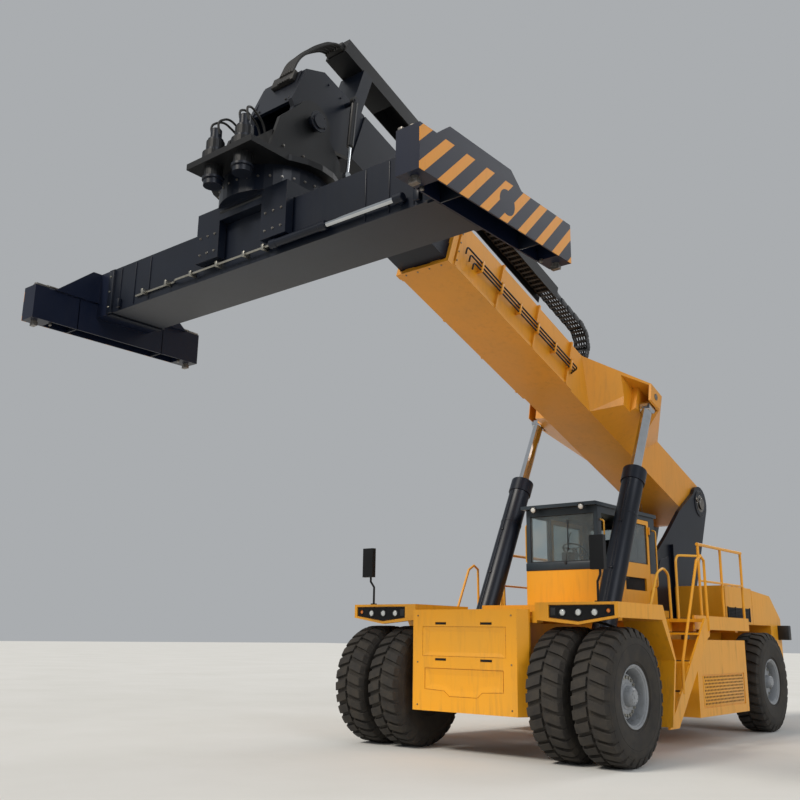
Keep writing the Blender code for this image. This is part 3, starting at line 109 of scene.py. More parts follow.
# %% Colour and node helpers
def linear(code):
    """Linear red, green, blue and alpha from an sRGB hex code."""
    shares = [int(code[i:i + 2], 16) / 255 for i in (1, 3, 5)]
    return tuple(s / 12.92 if s <= 0.04045 else ((s + 0.055) / 1.055) ** 2.4 for s in shares) + (1.0,)


def add(tree, kind, inputs=None, **settings):
    """A node with its settings, and with each input set to a value or linked to a socket."""
    made = tree.nodes.new(kind)
    for name, value in settings.items():
        setattr(made, name, value)
    for socket, value in (inputs or {}).items():
        if isinstance(value, bpy.types.NodeSocket):
            tree.links.new(value, made.inputs[socket])
        else:
            made.inputs[socket].default_value = value
    return made


def start_material(name):
    """An empty material with its shader and its output."""
    material = bpy.data.materials.new(name)
    material.use_nodes = True
    tree = material.node_tree
    tree.nodes.clear()
    shader = add(tree, "ShaderNodeBsdfPrincipled")
    add(tree, "ShaderNodeOutputMaterial", {"Surface": shader.outputs["BSDF"]})
    return material, tree, shader


def sums(tree, operation, *values):
    """The result of one step of arithmetic on values or sockets."""
    return add(tree, "ShaderNodeMath", dict(enumerate(values)), operation=operation).outputs[0]


def mixed(tree, share, first, second):
    """Colour mixed between two others by a share."""
    mix = add(tree, "ShaderNodeMix", data_type="RGBA")
    for slot, value in ((0, share), (6, first), (7, second)):
        if isinstance(value, bpy.types.NodeSocket):
            tree.links.new(value, mix.inputs[slot])
        else:
            mix.inputs[slot].default_value = value
    return mix.outputs[2]


def spread(tree, value, low, high, new_low=0.0, new_high=1.0):
    """A value moved from one range to another, and clamped."""
    ranged = add(tree, "ShaderNodeMapRange", {"Value": value, "From Min": low, "From Max": high,
                                              "To Min": new_low,
                                              "To Max": new_high})
    return ranged.outputs["Result"]


def cloud(tree, place, size_mm, detail=3.0, rough=0.55, stretch=(1, 1, 1)):
    """Noise whose blotches are about size_mm across. Stretch makes them longer along an axis."""
    moved = add(tree, "ShaderNodeMapping", {"Vector": place, "Scale": [1 / s for s in stretch]})
    grain = add(tree, "ShaderNodeTexNoise", {"Vector": moved.outputs["Vector"], "Scale": 1 / (size_mm * MM),
                                             "Detail": detail, "Roughness": rough})
    return grain.outputs["Fac"]


print("orange-yellow in linear light:", [round(c, 3) for c in linear("#E0A02A")])

# %% [markdown]
# ## Machine paint
# Port machines wear two-part polyurethane over primer, sprayed by hand. It is semi-gloss, with a
# fine orange peel of a few millimetres. Weather chalks it in broad patches, rain draws dirt down it
# in streaks, and grime gathers low down. Corners lose their paint first, and show primer or brown
# steel. A bevel node finds those corners.


# %% Sprayed paint
PEEL_MM = 6
STREAK_MM = 70


def sprayed_paint(name, colour, chalk, dirt="#5B4A36", rough=0.38, wear=0.5, grime=0.5, stripes=None,
                  sheen=0.5):
    material, tree, shader = start_material(name)
    shader.inputs["Specular IOR Level"].default_value = sheen
    place = add(tree, "ShaderNodeTexCoord").outputs["Object"]
    fade = spread(tree, cloud(tree, place, 900), 0.35, 0.75)
    paint = mixed(tree, fade, linear(colour), linear(chalk))
    if stripes:
        paint = stripes(tree, place, paint)
    streak = cloud(tree, place, STREAK_MM, 4.0, 0.6, (1, 1, 9))
    patch = cloud(tree, place, 600, 4.0)
    height = add(tree, "ShaderNodeSeparateXYZ", {"Vector": place}).outputs["Z"]
    low = spread(tree, height, 3.0, 0.2, 0.25, 1.0)
    soil = sums(tree, "MULTIPLY", spread(tree, streak, 0.50, 0.78), spread(tree, patch, 0.30, 0.65))
    soil = sums(tree, "MULTIPLY", soil, low)
    soil = sums(tree, "MULTIPLY", soil, grime)
    soiled = mixed(tree, soil, paint, linear(dirt))
    rounded = add(tree, "ShaderNodeBevel", {"Radius": 0.012}, samples=3).outputs["Normal"]
    flat = add(tree, "ShaderNodeNewGeometry").outputs["Normal"]
    turned = add(tree, "ShaderNodeVectorMath", {0: rounded, 1: flat},
                 operation="DOT_PRODUCT").outputs["Value"]
    edge = spread(tree, turned, 0.97, 0.80)
    chips = spread(tree, cloud(tree, place, 25, 5.0, 0.7), 0.52, 0.60)
    worn = sums(tree, "MULTIPLY", edge, chips)
    worn = sums(tree, "MULTIPLY", worn, wear)
    colour_out = mixed(tree, worn, soiled, linear("#4A3A30"))
    tree.links.new(colour_out, shader.inputs["Base Color"])
    gloss = sums(tree, "MAXIMUM", soil, worn)
    gloss = spread(tree, gloss, 0, 1, rough, 0.8)
    tree.links.new(gloss, shader.inputs["Roughness"])
    peel = cloud(tree, place, PEEL_MM, 2.0)
    bump = add(tree, "ShaderNodeBump", {"Height": peel, "Distance": 0.0004, "Strength": 0.35})
    tree.links.new(bump.outputs["Normal"], shader.inputs["Normal"])
    return material


yellow_paint = sprayed_paint("polyurethane_yellow", "#E89E14", "#DE9C28")
# The boom's copy of the yellow is darker and carries more grime: partly older, dirtier paint and partly painted
# shade.
shaded_dirty_boom_yellow = sprayed_paint("polyurethane_yellow_boom", "#DB9018", "#CB8A26", dirt="#6A4A24", grime=0.9)
rail_yellow = sprayed_paint("polyurethane_rail_yellow", "#E6A62C", "#DBA33C", wear=0.8)
navy_paint = sprayed_paint("polyurethane_navy", "#070D18", "#0C1422", dirt="#2A2722", rough=0.38, grime=0.45,
                           sheen=0.3)
black_paint = sprayed_paint("polyurethane_black", "#08090B", "#101215", dirt="#2A2722", rough=0.45, sheen=0.3)
slate_paint = sprayed_paint("polyurethane_slate", "#1C262E", "#26323B", dirt="#45423A", rough=0.40)
silver_paint = sprayed_paint("wheel_silver", "#8E9194", "#7C7F81", dirt="#3E372C", rough=0.36, grime=1.0)
print("paints:", [m.name for m in bpy.data.materials if m.name.startswith(("poly", "wheel"))])

# %% [markdown]
# ## Warning stripes
# The outer faces of the spreader's end beams carry slanted bars, masked and sprayed over the navy.
# The bars are a function of place: the height less the length along the beam, cut into equal bands.

# %% Striped paint
BAR_PITCH = 0.305
BAR_SHARE = 0.42
STRIPED_FROM_X = 3.046
STRIPED_TO_Z = 5.4995
COVER_CENTRE = (0, AXLE_Y - 4.18, 5.29)
COVER_RADIUS = 0.125


def slanted_bars(tree, place, ground):
    parts = add(tree, "ShaderNodeSeparateXYZ", {"Vector": place})
    run = sums(tree, "SUBTRACT", parts.outputs["Z"], parts.outputs["Y"])
    turns = sums(tree, "MULTIPLY", run, 1 / BAR_PITCH)
    share = sums(tree, "FRACT", turns)
    bar = sums(tree, "LESS_THAN", share, BAR_SHARE)
    out = sums(tree, "ABSOLUTE", parts.outputs["X"])
    outer = sums(tree, "GREATER_THAN", out, STRIPED_FROM_X)
    high = sums(tree, "LESS_THAN", parts.outputs["Z"], STRIPED_TO_Z)
    mask = sums(tree, "MULTIPLY", bar, outer)
    mask = sums(tree, "MULTIPLY", mask, high)
    flat = add(tree, "ShaderNodeCombineXYZ", {"Y": parts.outputs["Y"],
                                              "Z": parts.outputs["Z"]}).outputs["Vector"]
    away = add(tree, "ShaderNodeVectorMath", {0: flat, 1: COVER_CENTRE},
               operation="DISTANCE").outputs["Value"]
    clear = sums(tree, "GREATER_THAN", away, COVER_RADIUS)
    mask = sums(tree, "MULTIPLY", mask, clear)
    return mixed(tree, mask, ground, linear("#DA8F26"))


striped_paint = sprayed_paint("polyurethane_navy_with_bars", "#081024", "#0C162A", dirt="#2A2722", rough=0.40,
                              stripes=slanted_bars, sheen=0.3)
print("bars every", BAR_PITCH / MM, "mm along the beam")

# %% [markdown]
# ## Rubber, steel, glass and plastic
# Tyre rubber is almost black and bleaches to brown-grey in patches. A lift rod is
# steel, hard chromed and ground, so it mirrors the sky. Castings stay oily and dark. Glass is clear
# with a grey tint.


# %% Other finishes
def plain_finish(name, colour, second, rough, metal=0.0, size_mm=40, bump_mm=0.3, grain_mm=4,
                 rough_spread=0.12,
                 **sockets):
    material, tree, shader = start_material(name)
    place = add(tree, "ShaderNodeTexCoord").outputs["Object"]
    blotch = spread(tree, cloud(tree, place, size_mm, 5.0, 0.6), 0.35, 0.70)
    tree.links.new(mixed(tree, blotch, linear(colour), linear(second)), shader.inputs["Base Color"])
    tree.links.new(spread(tree, blotch, 0, 1, rough, min(1.0, rough + rough_spread)),
                   shader.inputs["Roughness"])
    shader.inputs["Metallic"].default_value = metal
    bump = add(tree, "ShaderNodeBump", {"Height": cloud(tree, place, grain_mm, 3.0), "Distance": bump_mm * MM,
                                        "Strength": 0.5})
    tree.links.new(bump.outputs["Normal"], shader.inputs["Normal"])
    for socket, value in sockets.items():
        shader.inputs[socket.replace("_", " ")].default_value = value
    return material


tyre_rubber = plain_finish("tyre_rubber", "#24211E", "#3A352E", 0.82, size_mm=160, bump_mm=0.8, grain_mm=9)
hose_rubber = plain_finish("hose_rubber", "#141414", "#24221F", 0.55, size_mm=60, grain_mm=3)
gasket_rubber = plain_finish("gasket_rubber", "#101011", "#1B1B1C", 0.6, size_mm=60, grain_mm=3)
chrome_rod = plain_finish("hard_chrome", "#C9CCCF", "#B9BCBE", 0.07, 1.0, size_mm=200, bump_mm=0.02,
                          rough_spread=0.06)
zinc_pipe = plain_finish("zinc_plated_steel", "#A7A59C", "#8C8A82", 0.34, 1.0, size_mm=50, bump_mm=0.05)
bare_steel = plain_finish("worn_steel", "#8A8782", "#66605A", 0.36, 1.0, size_mm=60, bump_mm=0.2)
oily_casting = plain_finish("cast_iron_oily", "#17181A", "#26231E", 0.50, 0.25, size_mm=90, bump_mm=1.0,
                            grain_mm=5)
seat_cloth = plain_finish("woven_seat_cloth", "#1C1D20", "#2A2B2F", 0.85, size_mm=20, bump_mm=0.6, grain_mm=3)
moulded_plastic = plain_finish("moulded_abs", "#17181A", "#202225", 0.48, size_mm=80, bump_mm=0.1,
                               grain_mm=1.5)
lamp_glass = plain_finish("lamp_lens", "#D9DBD8", "#C6C9C6", 0.10, size_mm=30, bump_mm=0.4, grain_mm=8,
                          Coat_Weight=0.6)
amber_lens = plain_finish("amber_lens", "#E07A14", "#C96A10", 0.18, size_mm=20, bump_mm=0.4, grain_mm=6,
                          Coat_Weight=0.5)
red_lens = plain_finish("red_lens", "#8E1512", "#741110", 0.18, size_mm=20, bump_mm=0.4, grain_mm=6,
                        Coat_Weight=0.5)
mirror_glass = plain_finish("silvered_glass", "#DDE2E4", "#CFD5D8", 0.03, 1.0, size_mm=90, bump_mm=0.01)
# Flat black: the lamp insets' own colour, and painted shade in the nose slots, tank vent holes, hood vent backs
# and lower door panes.
black_and_painted_shade = plain_finish("shadow_black", "#08090A", "#0D0E0F", 0.9, size_mm=60)


def window_glass():
    material, tree, shader = start_material("toughened_glass")
    place = add(tree, "ShaderNodeTexCoord").outputs["Object"]
    film = spread(tree, cloud(tree, place, 300, 4.0), 0.4, 0.8)
    tree.links.new(mixed(tree, film, linear("#B4C2C4"), linear("#C9CDC6")), shader.inputs["Base Color"])
    tree.links.new(spread(tree, film, 0, 1, 0.03, 0.16), shader.inputs["Roughness"])
    shader.inputs["Transmission Weight"].default_value = 0.92
    shader.inputs["IOR"].default_value = 1.5
    return material


glass = window_glass()
print("materials:", len(bpy.data.materials))

# %% [markdown]
# ## Shapes that come back again and again
# Most pieces here are blocks with rounded edges, turned shapes, bent pipes and bolts. Each helper
# adds one such shape to a bmesh, and one function makes a named piece from the bmesh and lets it
# ride on its body.


# %% Shape helpers
def block(bm, low, high, edge=0.004, tilt=None):
    """A block between two corners with rounded edges. Tilt is a matrix applied to it about the origin."""
    low, high = Vector(low), Vector(high)
    low, high = Vector(map(min, low, high)), Vector(map(max, low, high))
    made = bmesh.ops.create_cube(bm, size=1.0)["verts"]
    size = high - low
    bmesh.ops.scale(bm, vec=size, verts=made)
    bmesh.ops.translate(bm, vec=(low + high) / 2, verts=made)
    edges = list({e for v in made for e in v.link_edges})
    edge = min(edge, min(size) * 0.45)
    if edge > 0:
        out = bmesh.ops.bevel(bm, geom=edges, offset=edge, segments=2, profile=0.5, affect="EDGES")
        made = list({v for f in out["faces"] for v in f.verts})
    if tilt is not None:
        bmesh.ops.transform(bm, matrix=tilt, verts=made)
    return made


def lathe(bm, profile, steps=48, place=None):
    """A profile of (radius, distance along X) turned about X, then moved by a matrix. It runs from +X to -X."""
    rings = []
    place = place or Matrix.Identity(4)
    for radius, x in profile:
        if radius < 1e-6:
            rings.append([bm.verts.new(place @ Vector((x, 0, 0)))])
            continue
        ring = []
        for i in range(steps):
            t = 2 * pi * i / steps
            ring.append(bm.verts.new(place @ Vector((x, radius * cos(t), radius * sin(t)))))
        rings.append(ring)
    for first, second in zip(rings, rings[1:]):
        for i in range(steps):
            j = (i + 1) % steps
            a, b = first[i % len(first)], first[j % len(first)]
            c, d = second[j % len(second)], second[i % len(second)]
            corners = []
            for v in (a, b, c, d):
                if v not in corners:
                    corners.append(v)
            if len(corners) > 2:
                bm.faces.new(corners)


def towards(direction):
    """Turn that takes +X to a direction."""
    return Vector(direction).normalized().to_track_quat("X", "Z").to_matrix().to_4x4()


def disc(bm, centre, direction, radius, thick, steps=24, edge=0.15):
    """A short round bar with softened rims, centred on a point."""
    soft = min(radius, thick) * edge
    half = thick / 2
    profile = [(0, half), (radius - soft, half), (radius, half - soft), (radius, soft - half),
               (radius - soft, -half),
               (0, -half)]
    lathe(bm, profile, steps, Matrix.Translation(centre) @ towards(direction))


def bar(bm, start, end, radius, steps=24, edge=0.15):
    start, end = Vector(start), Vector(end)
    disc(bm, (start + end) / 2, end - start, radius, (end - start).length, steps, edge)


def bolt(bm, centre, direction, size=0.012):
    """A hexagon head on a washer."""
    place = Matrix.Translation(centre) @ towards(direction)
    lathe(bm, [(0, size * 0.25), (size * 1.25, size * 0.25), (size * 1.25, -size * 0.1)], 12, place)
    lathe(bm, [(0, size * 0.95), (size * 0.85, size * 0.95), (size, size * 0.75), (size, 0)], 6, place)


def rounded_path(points, radius, steps=5):
    """The same route with each corner replaced by a curve."""
    points = [Vector(p) for p in points]
    route = [points[0]]
    for before, corner, after in zip(points, points[1:], points[2:]):
        back, ahead = before - corner, after - corner
        cut = min(radius, back.length * 0.45, ahead.length * 0.45)
        start, end = corner + back.normalized() * cut, corner + ahead.normalized() * cut
        for i in range(steps + 1):
            t = i / steps
            route.append(start.lerp(corner, t).lerp(corner.lerp(end, t), t))
    route.append(points[-1])
    return route


def pipe(bm, points, radius, bend=0.06, sides=12):
    """A round pipe or hose along a route, with flat ends."""
    route = rounded_path(points, bend)
    side = None
    rings = []
    for i, point in enumerate(route):
        ahead = (route[min(i + 1, len(route) - 1)] - route[max(i - 1, 0)]).normalized()
        if side is None:
            side = ahead.orthogonal().normalized()
        side = (side - ahead * side.dot(ahead)).normalized()
        other = ahead.cross(side)
        ring = [bm.verts.new(point + (side * cos(2 * pi * k / sides) + other * sin(2 * pi * k / sides)) * radius)
                for k in range(sides)]
        rings.append(ring)
    for first, second in zip(rings, rings[1:]):
        for k in range(sides):
            bm.faces.new((first[k], first[(k + 1) % sides], second[(k + 1) % sides], second[k]))
    bm.faces.new(list(reversed(rings[0])))
    bm.faces.new(rings[-1])


def outline_plate(bm, points, low, high, across="X"):
    """A flat outline of (y, z) points, or (x, z) or (x, y) when across is Y or Z, given thickness."""
    order = {"X": lambda a, b, c: (c, a, b), "Y": lambda a, b, c: (a, c, b), "Z": lambda a, b,
             c: (a, b, c)}[across]
    ends = [[bm.verts.new(order(u, v, w)) for u, v in points] for w in (low, high)]
    made = [bm.faces.new(ends[0]), bm.faces.new(list(reversed(ends[1])))]
    count = len(points)
    for i in range(count):
        j = (i + 1) % count
        made.append(bm.faces.new((ends[0][i], ends[1][i], ends[1][j], ends[0][j])))
    return made


def make_piece(name, bm, finish, body, place=MACHINE, angle=35, bevel=0.0, stands_for=()):
    """Turns a bmesh into a named piece that rides on a body."""
    bmesh.ops.transform(bm, matrix=place, verts=bm.verts)
    bmesh.ops.recalc_face_normals(bm, faces=bm.faces)
    mesh = bpy.data.meshes.new(name)
    bm.to_mesh(mesh)
    bm.free()
    mesh.materials.append(finish)
    mesh.shade_smooth()
    mesh.set_sharp_from_angle(angle=radians(angle))
    piece = bpy.data.objects.new(name, mesh)
    bpy.context.scene.collection.objects.link(piece)
    if bevel:
        soften = piece.modifiers.new("soften", "BEVEL")
        soften.width = bevel
        soften.segments = 2
        soften.limit_method = "ANGLE"
        soften.angle_limit = radians(40)
    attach(piece, body)
    if stands_for:
        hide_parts(*stands_for)
    triangles = sum(len(p.vertices) - 2 for p in mesh.polygons)
    print(name, triangles, "triangles on", body)
    return piece


# %% [markdown]
# ## Paint on the frame's own panels
# Many panels already have their real shape, so they only need their finish. Each node is matched to
# a finish here.

# %% Finishes of the frame's nodes
FINISHES = {
    yellow_paint: ["chassis_frame", "front_nose", "fender_left", "fender_right", "side_box_left",
                   "side_box_right",
                   "platform_left", "platform_right", "engine_hood", "counterweight", "cab_base",
                   "cab_door_left",
                   "cab_door_right"],
    shaded_dirty_boom_yellow: ["outer_boom"],
    navy_paint: ["boom_tower", "inner_boom", "boom_head", "side_shift_frame", "spreader_beam",
                 "lift_cylinder_left", "lift_cylinder_right"],
    striped_paint: ["end_beam_left", "end_beam_right"],
    black_paint: ["chain_channel", "head_frame", "mirror_left", "mirror_right", "damper_barrel_left",
                  "damper_barrel_right"],
    slate_paint: ["cab_shell"],
    oily_casting: ["front_axle", "steer_axle", "steering_knuckle_left", "steering_knuckle_right",
                   "engine_block"],
    bare_steel: ["twistlock_left_front", "twistlock_left_rear", "twistlock_right_front",
                 "twistlock_right_rear"],
    chrome_rod: ["damper_rod_left", "damper_rod_right", "lift_rod_left", "lift_rod_right"],
    glass: ["windscreen", "rear_window", "cab_door_left_glass", "cab_door_right_glass"],
    moulded_plastic: ["steering_console", "driver_seat", "energy_chain"],
}
for finish, names in FINISHES.items():
    for name in names:
        mesh = nodes[name].data
        mesh.materials.clear()
        mesh.materials.append(finish)
print("finished nodes:", sum(len(names) for names in FINISHES.values()))

# %% [markdown]
# ## Tyres
# A container machine runs on wide, smooth-shouldered tyres with shallow tread blocks. The carcass
# is one turned section. The lugs stand on it as curved blocks, half a pitch apart on the two halves
# of the tread.

# %% Tyres
LUGS = 30
TREAD_DEPTH = 0.040


def tyre_section(half, bore):
    crown = TYRE_RADIUS - TREAD_DEPTH
    one_side = [(bore, half - 0.075), (bore + 0.004, half - 0.052), (0.372, half - 0.040),
                (0.400, half - 0.034),
                (0.408, half - 0.022), (0.425, half - 0.020), (0.47, half - 0.011), (0.52, half - 0.004),
                (0.60, half), (0.606, half - 0.004), (0.612, half), (0.665, half - 0.003),
                (0.70, half - 0.011),
                (0.735, half - 0.028), (crown - 0.010, half - 0.050), (crown, half - 0.090),
                (crown + 0.004, 0.05)]
    return one_side + [(r, -x) for r, x in reversed(one_side)]


def lug(bm, middle, start, width, side, half):
    """One tread block: it follows the tyre round and folds over the shoulder."""
    steps = 3
    top = [(TYRE_RADIUS, 0.016), (TYRE_RADIUS, 0.09), (TYRE_RADIUS - 0.002, half - 0.075),
           (TYRE_RADIUS - 0.022, half - 0.036), (TYRE_RADIUS - 0.115, half - 0.004)]
    base = TYRE_RADIUS - TREAD_DEPTH - 0.05
    rows = []
    for i in range(steps + 1):
        row = []
        for r, x in top:
            slant = 0.10 * (x / half)
            t = start + width * (i / steps) + slant
            row.append((r, x, t))
        rows.append(row)
    grid = [[bm.verts.new((middle + side * x, r * cos(t), r * sin(t))) for r, x, t in row] for row in rows]
    under = [[bm.verts.new((middle + side * x * 0.98, base * cos(t), base * sin(t))) for r, x, t in row]
             for row in rows]
    for i in range(steps):
        for j in range(len(top) - 1):
            bm.faces.new((grid[i][j], grid[i][j + 1], grid[i + 1][j + 1], grid[i + 1][j]))
            bm.faces.new((under[i][j], under[i + 1][j], under[i + 1][j + 1], under[i][j + 1]))
    for i in range(steps):
        for j in (0, len(top) - 1):
            bm.faces.new((grid[i][j], grid[i + 1][j], under[i + 1][j], under[i][j]))
    for i in (0, steps):
        for j in range(len(top) - 1):
            bm.faces.new((grid[i][j], grid[i][j + 1], under[i][j + 1], under[i][j]))


def make_tyre(name, body):
    low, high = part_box(name)
    middle, half = (low.x + high.x) / 2, (high.x - low.x) / 2
    bm = bmesh.new()
    section = tyre_section(half, 0.348)
    lathe(bm, section + [section[0]], 96, Matrix.Translation((middle, 0, 0)))
    pitch = 2 * pi / LUGS
    for i in range(LUGS):
        lug(bm, middle, i * pitch, pitch * 0.64, 1, half)
        lug(bm, middle, (i + 0.5) * pitch, pitch * 0.64, -1, half)
    bmesh.ops.remove_doubles(bm, verts=bm.verts, dist=1e-5)
    centre = Matrix.Translation((0, (low.y + high.y) / 2, (low.z + high.z) / 2))
    make_piece(name + "_treaded", bm, tyre_rubber, body, centre, 30, stands_for=(name,))


for side, label in SIDES:
    for place in ("outer", "inner"):
        make_tyre(f"front_{label}_{place}_tyre", f"front_wheels_{label}")
    make_tyre(f"rear_{label}_tyre", f"rear_wheel_{label}")

# %% [markdown]
# ## Rims
# Each rim is a dished steel disc welded in a band with a loose flange and lock ring. The hub's dome
# stands in the middle, ringed by wheel nuts. Front hubs are wider, with a planetary drive inside
# and its cover's own bolts.

# %% Rims


def make_rim(name, body, side, front):
    low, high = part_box(name)
    face = high.x if side > 0 else -low.x
    inner = low.x if side > 0 else -high.x
    flange, cup = 0.372, 0.19 if front else 0.14
    dome = 0.115 if front else 0.10
    bore = 0.1008 if front else 0.0712
    profile = [(0, face - 0.004), (dome * 0.75, face - 0.006), (dome * 0.92, face - 0.022),
               (dome, face - 0.05),
               (dome + 0.006, face - 0.100), (0.150, face - 0.104), (0.156, face - 0.112),
               (0.252, face - 0.116),
               (0.262, face - 0.124), (0.270, face - 0.200), (0.312, face - 0.204), (0.318, face - 0.100),
               (0.322, face - 0.040), (0.330, face - 0.026), (0.340, face - 0.022), (0.344, face - 0.012),
               (0.352, face - 0.008), (flange - 0.006, face - 0.001), (flange, face - 0.004),
               (flange, face - 0.012),
               (0.3449, face - 0.016), (0.3449, inner), (0.30, inner), (0.29, inner + cup),
               (bore, inner + cup),
               (bore, face - 0.09), (0, face - 0.09)]
    bm = bmesh.new()
    centre = Vector((0, (low.y + high.y) / 2, (low.z + high.z) / 2))
    flip = Matrix.Scale(side, 4, (1, 0, 0))
    lathe(bm, profile, 80)
    count = 20 if front else 12
    nuts = bmesh.new()
    for i in range(count):
        t = 2 * pi * i / count
        bolt(nuts, (face - 0.116, 0.222 * cos(t), 0.222 * sin(t)), (1, 0, 0), 0.020)
    for i in range(8):
        t = 2 * pi * (i + 0.5) / 8
        bolt(bm, (face - 0.006, dome * 0.62 * cos(t), dome * 0.62 * sin(t)), (1, 0, 0), 0.007)
    disc(bm, (face - 0.005, 0, 0), (1, 0, 0), 0.024, 0.010, 16)
    pipe(bm, [(face - 0.198, 0.291, 0.02), (face - 0.12, 0.291, 0.02), (face - 0.06, 0.286, 0.02)], 0.006,
         0.01, 8)
    place = Matrix.Translation(centre) @ flip
    make_piece(name + "_turned", bm, silver_paint, body, place, stands_for=(name,))
    make_piece(name + "_nuts", nuts, zinc_pipe, body, place)


for side, label in SIDES:
    make_rim(f"front_{label}_hub", f"front_wheels_{label}", side, True)
    make_rim(f"rear_{label}_hub", f"rear_wheel_{label}", side, False)

# %% [markdown]
# ## Lift cylinders
# Each barrel is a honed tube with a screwed gland at its mouth, a welded cap with its eye below,
# and a steel pipe that feeds the far side of the piston. They are turned again here at a finer
# step.

# %% Lift cylinders


def along_axis(joint_name, direction_name):
    """Frame whose X axis lies along a cylinder, with its origin on the foot pin."""
    place = Vector(joints[joint_name]["pos_m"])
    return Matrix.Translation(place) @ towards(joints[direction_name]["axis"])


BARREL_END = 3.44
for side, label in SIDES:
    cylinder = along_axis(f"lift_cylinder_swing_{label}", f"lift_rod_slide_{label}")
    bm = bmesh.new()
    lathe(bm, [(0.0862, 3.42), (0.0862, BARREL_END - 0.012), (0.120, BARREL_END + 0.003),
               (0.160, BARREL_END + 0.003),
               (0.1848, BARREL_END - 0.012), (0.1848, 3.30), (0.1848, 3.20), (0.168, 3.195), (0.1668, 3.19),
               (0.1668, 2.62), (0.171, 2.615), (0.171, 2.585), (0.1668, 2.58), (0.1668, 0.24), (0.150, 0.185),
               (0.085, 0.150), (0.0, 0.150)], 64)
    for i in range(12):
        t = 2 * pi * i / 12
        bolt(bm, (BARREL_END - 0.006, 0.150 * cos(t), 0.150 * sin(t)), (1, 0, 0), 0.010)
    make_piece(f"lift_barrel_{label}", bm, navy_paint, f"cylinder_{label}", cylinder)
    bm = bmesh.new()
    up = (cylinder.to_3x3().inverted() @ Vector((0, -1, 0))).normalized()
    across = (cylinder.to_3x3().inverted() @ Vector((side, 0, 0))).normalized()
    lane = up * 0.19 + across * 0.02
    pipe(bm, [Vector((0.34, 0, 0)) + up * 0.15, Vector((0.34, 0, 0)) + lane, Vector((3.26, 0, 0)) + lane,
              Vector((3.26, 0, 0)) + up * 0.155], 0.013, 0.03)
    for x in (0.9, 1.7, 2.5):
        block(bm, Vector((x - 0.02, 0, 0)) + lane - Vector((0, 0.025, 0.022)),
              Vector((x + 0.02, 0, 0)) + lane + Vector((0, 0.025, 0.022)), 0.003)
    make_piece(f"lift_barrel_pipe_{label}", bm, navy_paint, f"cylinder_{label}", cylinder)
    bm = bmesh.new()
    for sign in (1, -1):
        centre = cylinder @ Vector((0, 0, 0)) + Vector((sign * 0.105, 0, 0))
        disc(bm, centre, (1, 0, 0), 0.085, 0.012, 32)
    make_piece(f"foot_pin_washers_{label}", bm, bare_steel, "chassis", Matrix.Identity(4))

# %% [markdown]
# ## Boom dressing
# Steel pipes run along both sides of the outer boom in clamps that sit beside the welded ribs. Rows
# of bolts dress the collar.

# %% Boom pipes and clamps
HALF_WIDTH = 0.415
RIBS = [8.17 - 1.02 * i for i in range(4)]
for side, label in SIDES:
    bm = bmesh.new()
    clamps = bmesh.new()
    lanes = (0.02, -0.04, -0.10)
    for k, n in enumerate(lanes):
        x = side * (HALF_WIDTH + 0.068)
        rear = 4.86 + 0.05 * k
        pipe(bm, [(side * (HALF_WIDTH + 0.01), -rear, n), (x, -rear - 0.05, n), (x, -8.05 + 0.10 * k, n),
                  (x, -8.05 + 0.10 * k, n - 0.12)], 0.0125, 0.05)
    for s in RIBS[1:]:
        x0, x1 = side * (HALF_WIDTH + 0.04), side * (HALF_WIDTH + 0.092)
        block(clamps, (x0, -s - 0.022, lanes[-1] - 0.035), (x1, -s + 0.022, lanes[0] + 0.035), 0.004)
        for n in (lanes[0] + 0.028, lanes[-1] - 0.028):
            bolt(clamps, (x1, -s, n), (side, 0, 0), 0.008)
    for s in (5.6, 6.64, 7.66):
        x0, x1 = side * (HALF_WIDTH - 0.002), side * (HALF_WIDTH + 0.088)
        block(clamps, (x0, -s - 0.018, lanes[-1] - 0.03), (x1, -s + 0.018, lanes[0] + 0.03), 0.004)
    make_piece(f"boom_pipes_{label}", bm, black_paint, "boom", BOOM)
    make_piece(f"boom_pipe_clamps_{label}", clamps, shaded_dirty_boom_yellow, "boom", BOOM)

# %% Boom collar and wing details
bm = bmesh.new()
for side in (1, -1):
    for n in (-0.30, -0.15, 0.0, 0.15, 0.30):
        bolt(bm, (side * (HALF_WIDTH + 0.045), -8.17, n), (side, 0, 0), 0.011)
    for s in (3.2, 3.8):
        disc(bm, (side * 0.62, -s, 0.372), (0, 0, 1), 0.02, 0.02, 12)
    bar(bm, (side * 1.150, -3.5, 0.20), (side * 1.158, -3.5, 0.20), 0.055, 24)
for x in (-0.3, -0.1, 0.1, 0.3):
    for n, up in ((0.418, 1), (-0.418, -1)):
        bolt(bm, (x, -8.27, n - 0.004 * up), (0, 0, up), 0.011)
make_piece("boom_collar_bolts", bm, bare_steel, "boom", BOOM)

bm = bmesh.new()
for side in (1, -1):
    bar(bm, (side * 0.505, 0, 0), (side * 0.545, 0, 0), 0.105, 48)
    disc(bm, (side * 0.505, 0, 0), (1, 0, 0), 0.16, 0.02, 48)
    block(bm, (side * 0.51, -0.22, -0.03), (side * 0.532, 0.02, 0.03), 0.004)
    for y in (-0.20, -0.14):
        bolt(bm, (side * 0.530, y, 0), (side, 0, 0), 0.012)
make_piece("pivot_pin_caps", bm, bare_steel, "chassis", BOOM)

# %% [markdown]
# ## Hose chain
# A chain of plastic links carries the hoses out to the boom head. It runs in its trough, bends back
# on itself and lies on the boom. Each link is a pair of side plates and two cross bars, and the
# next link sits half inside it.

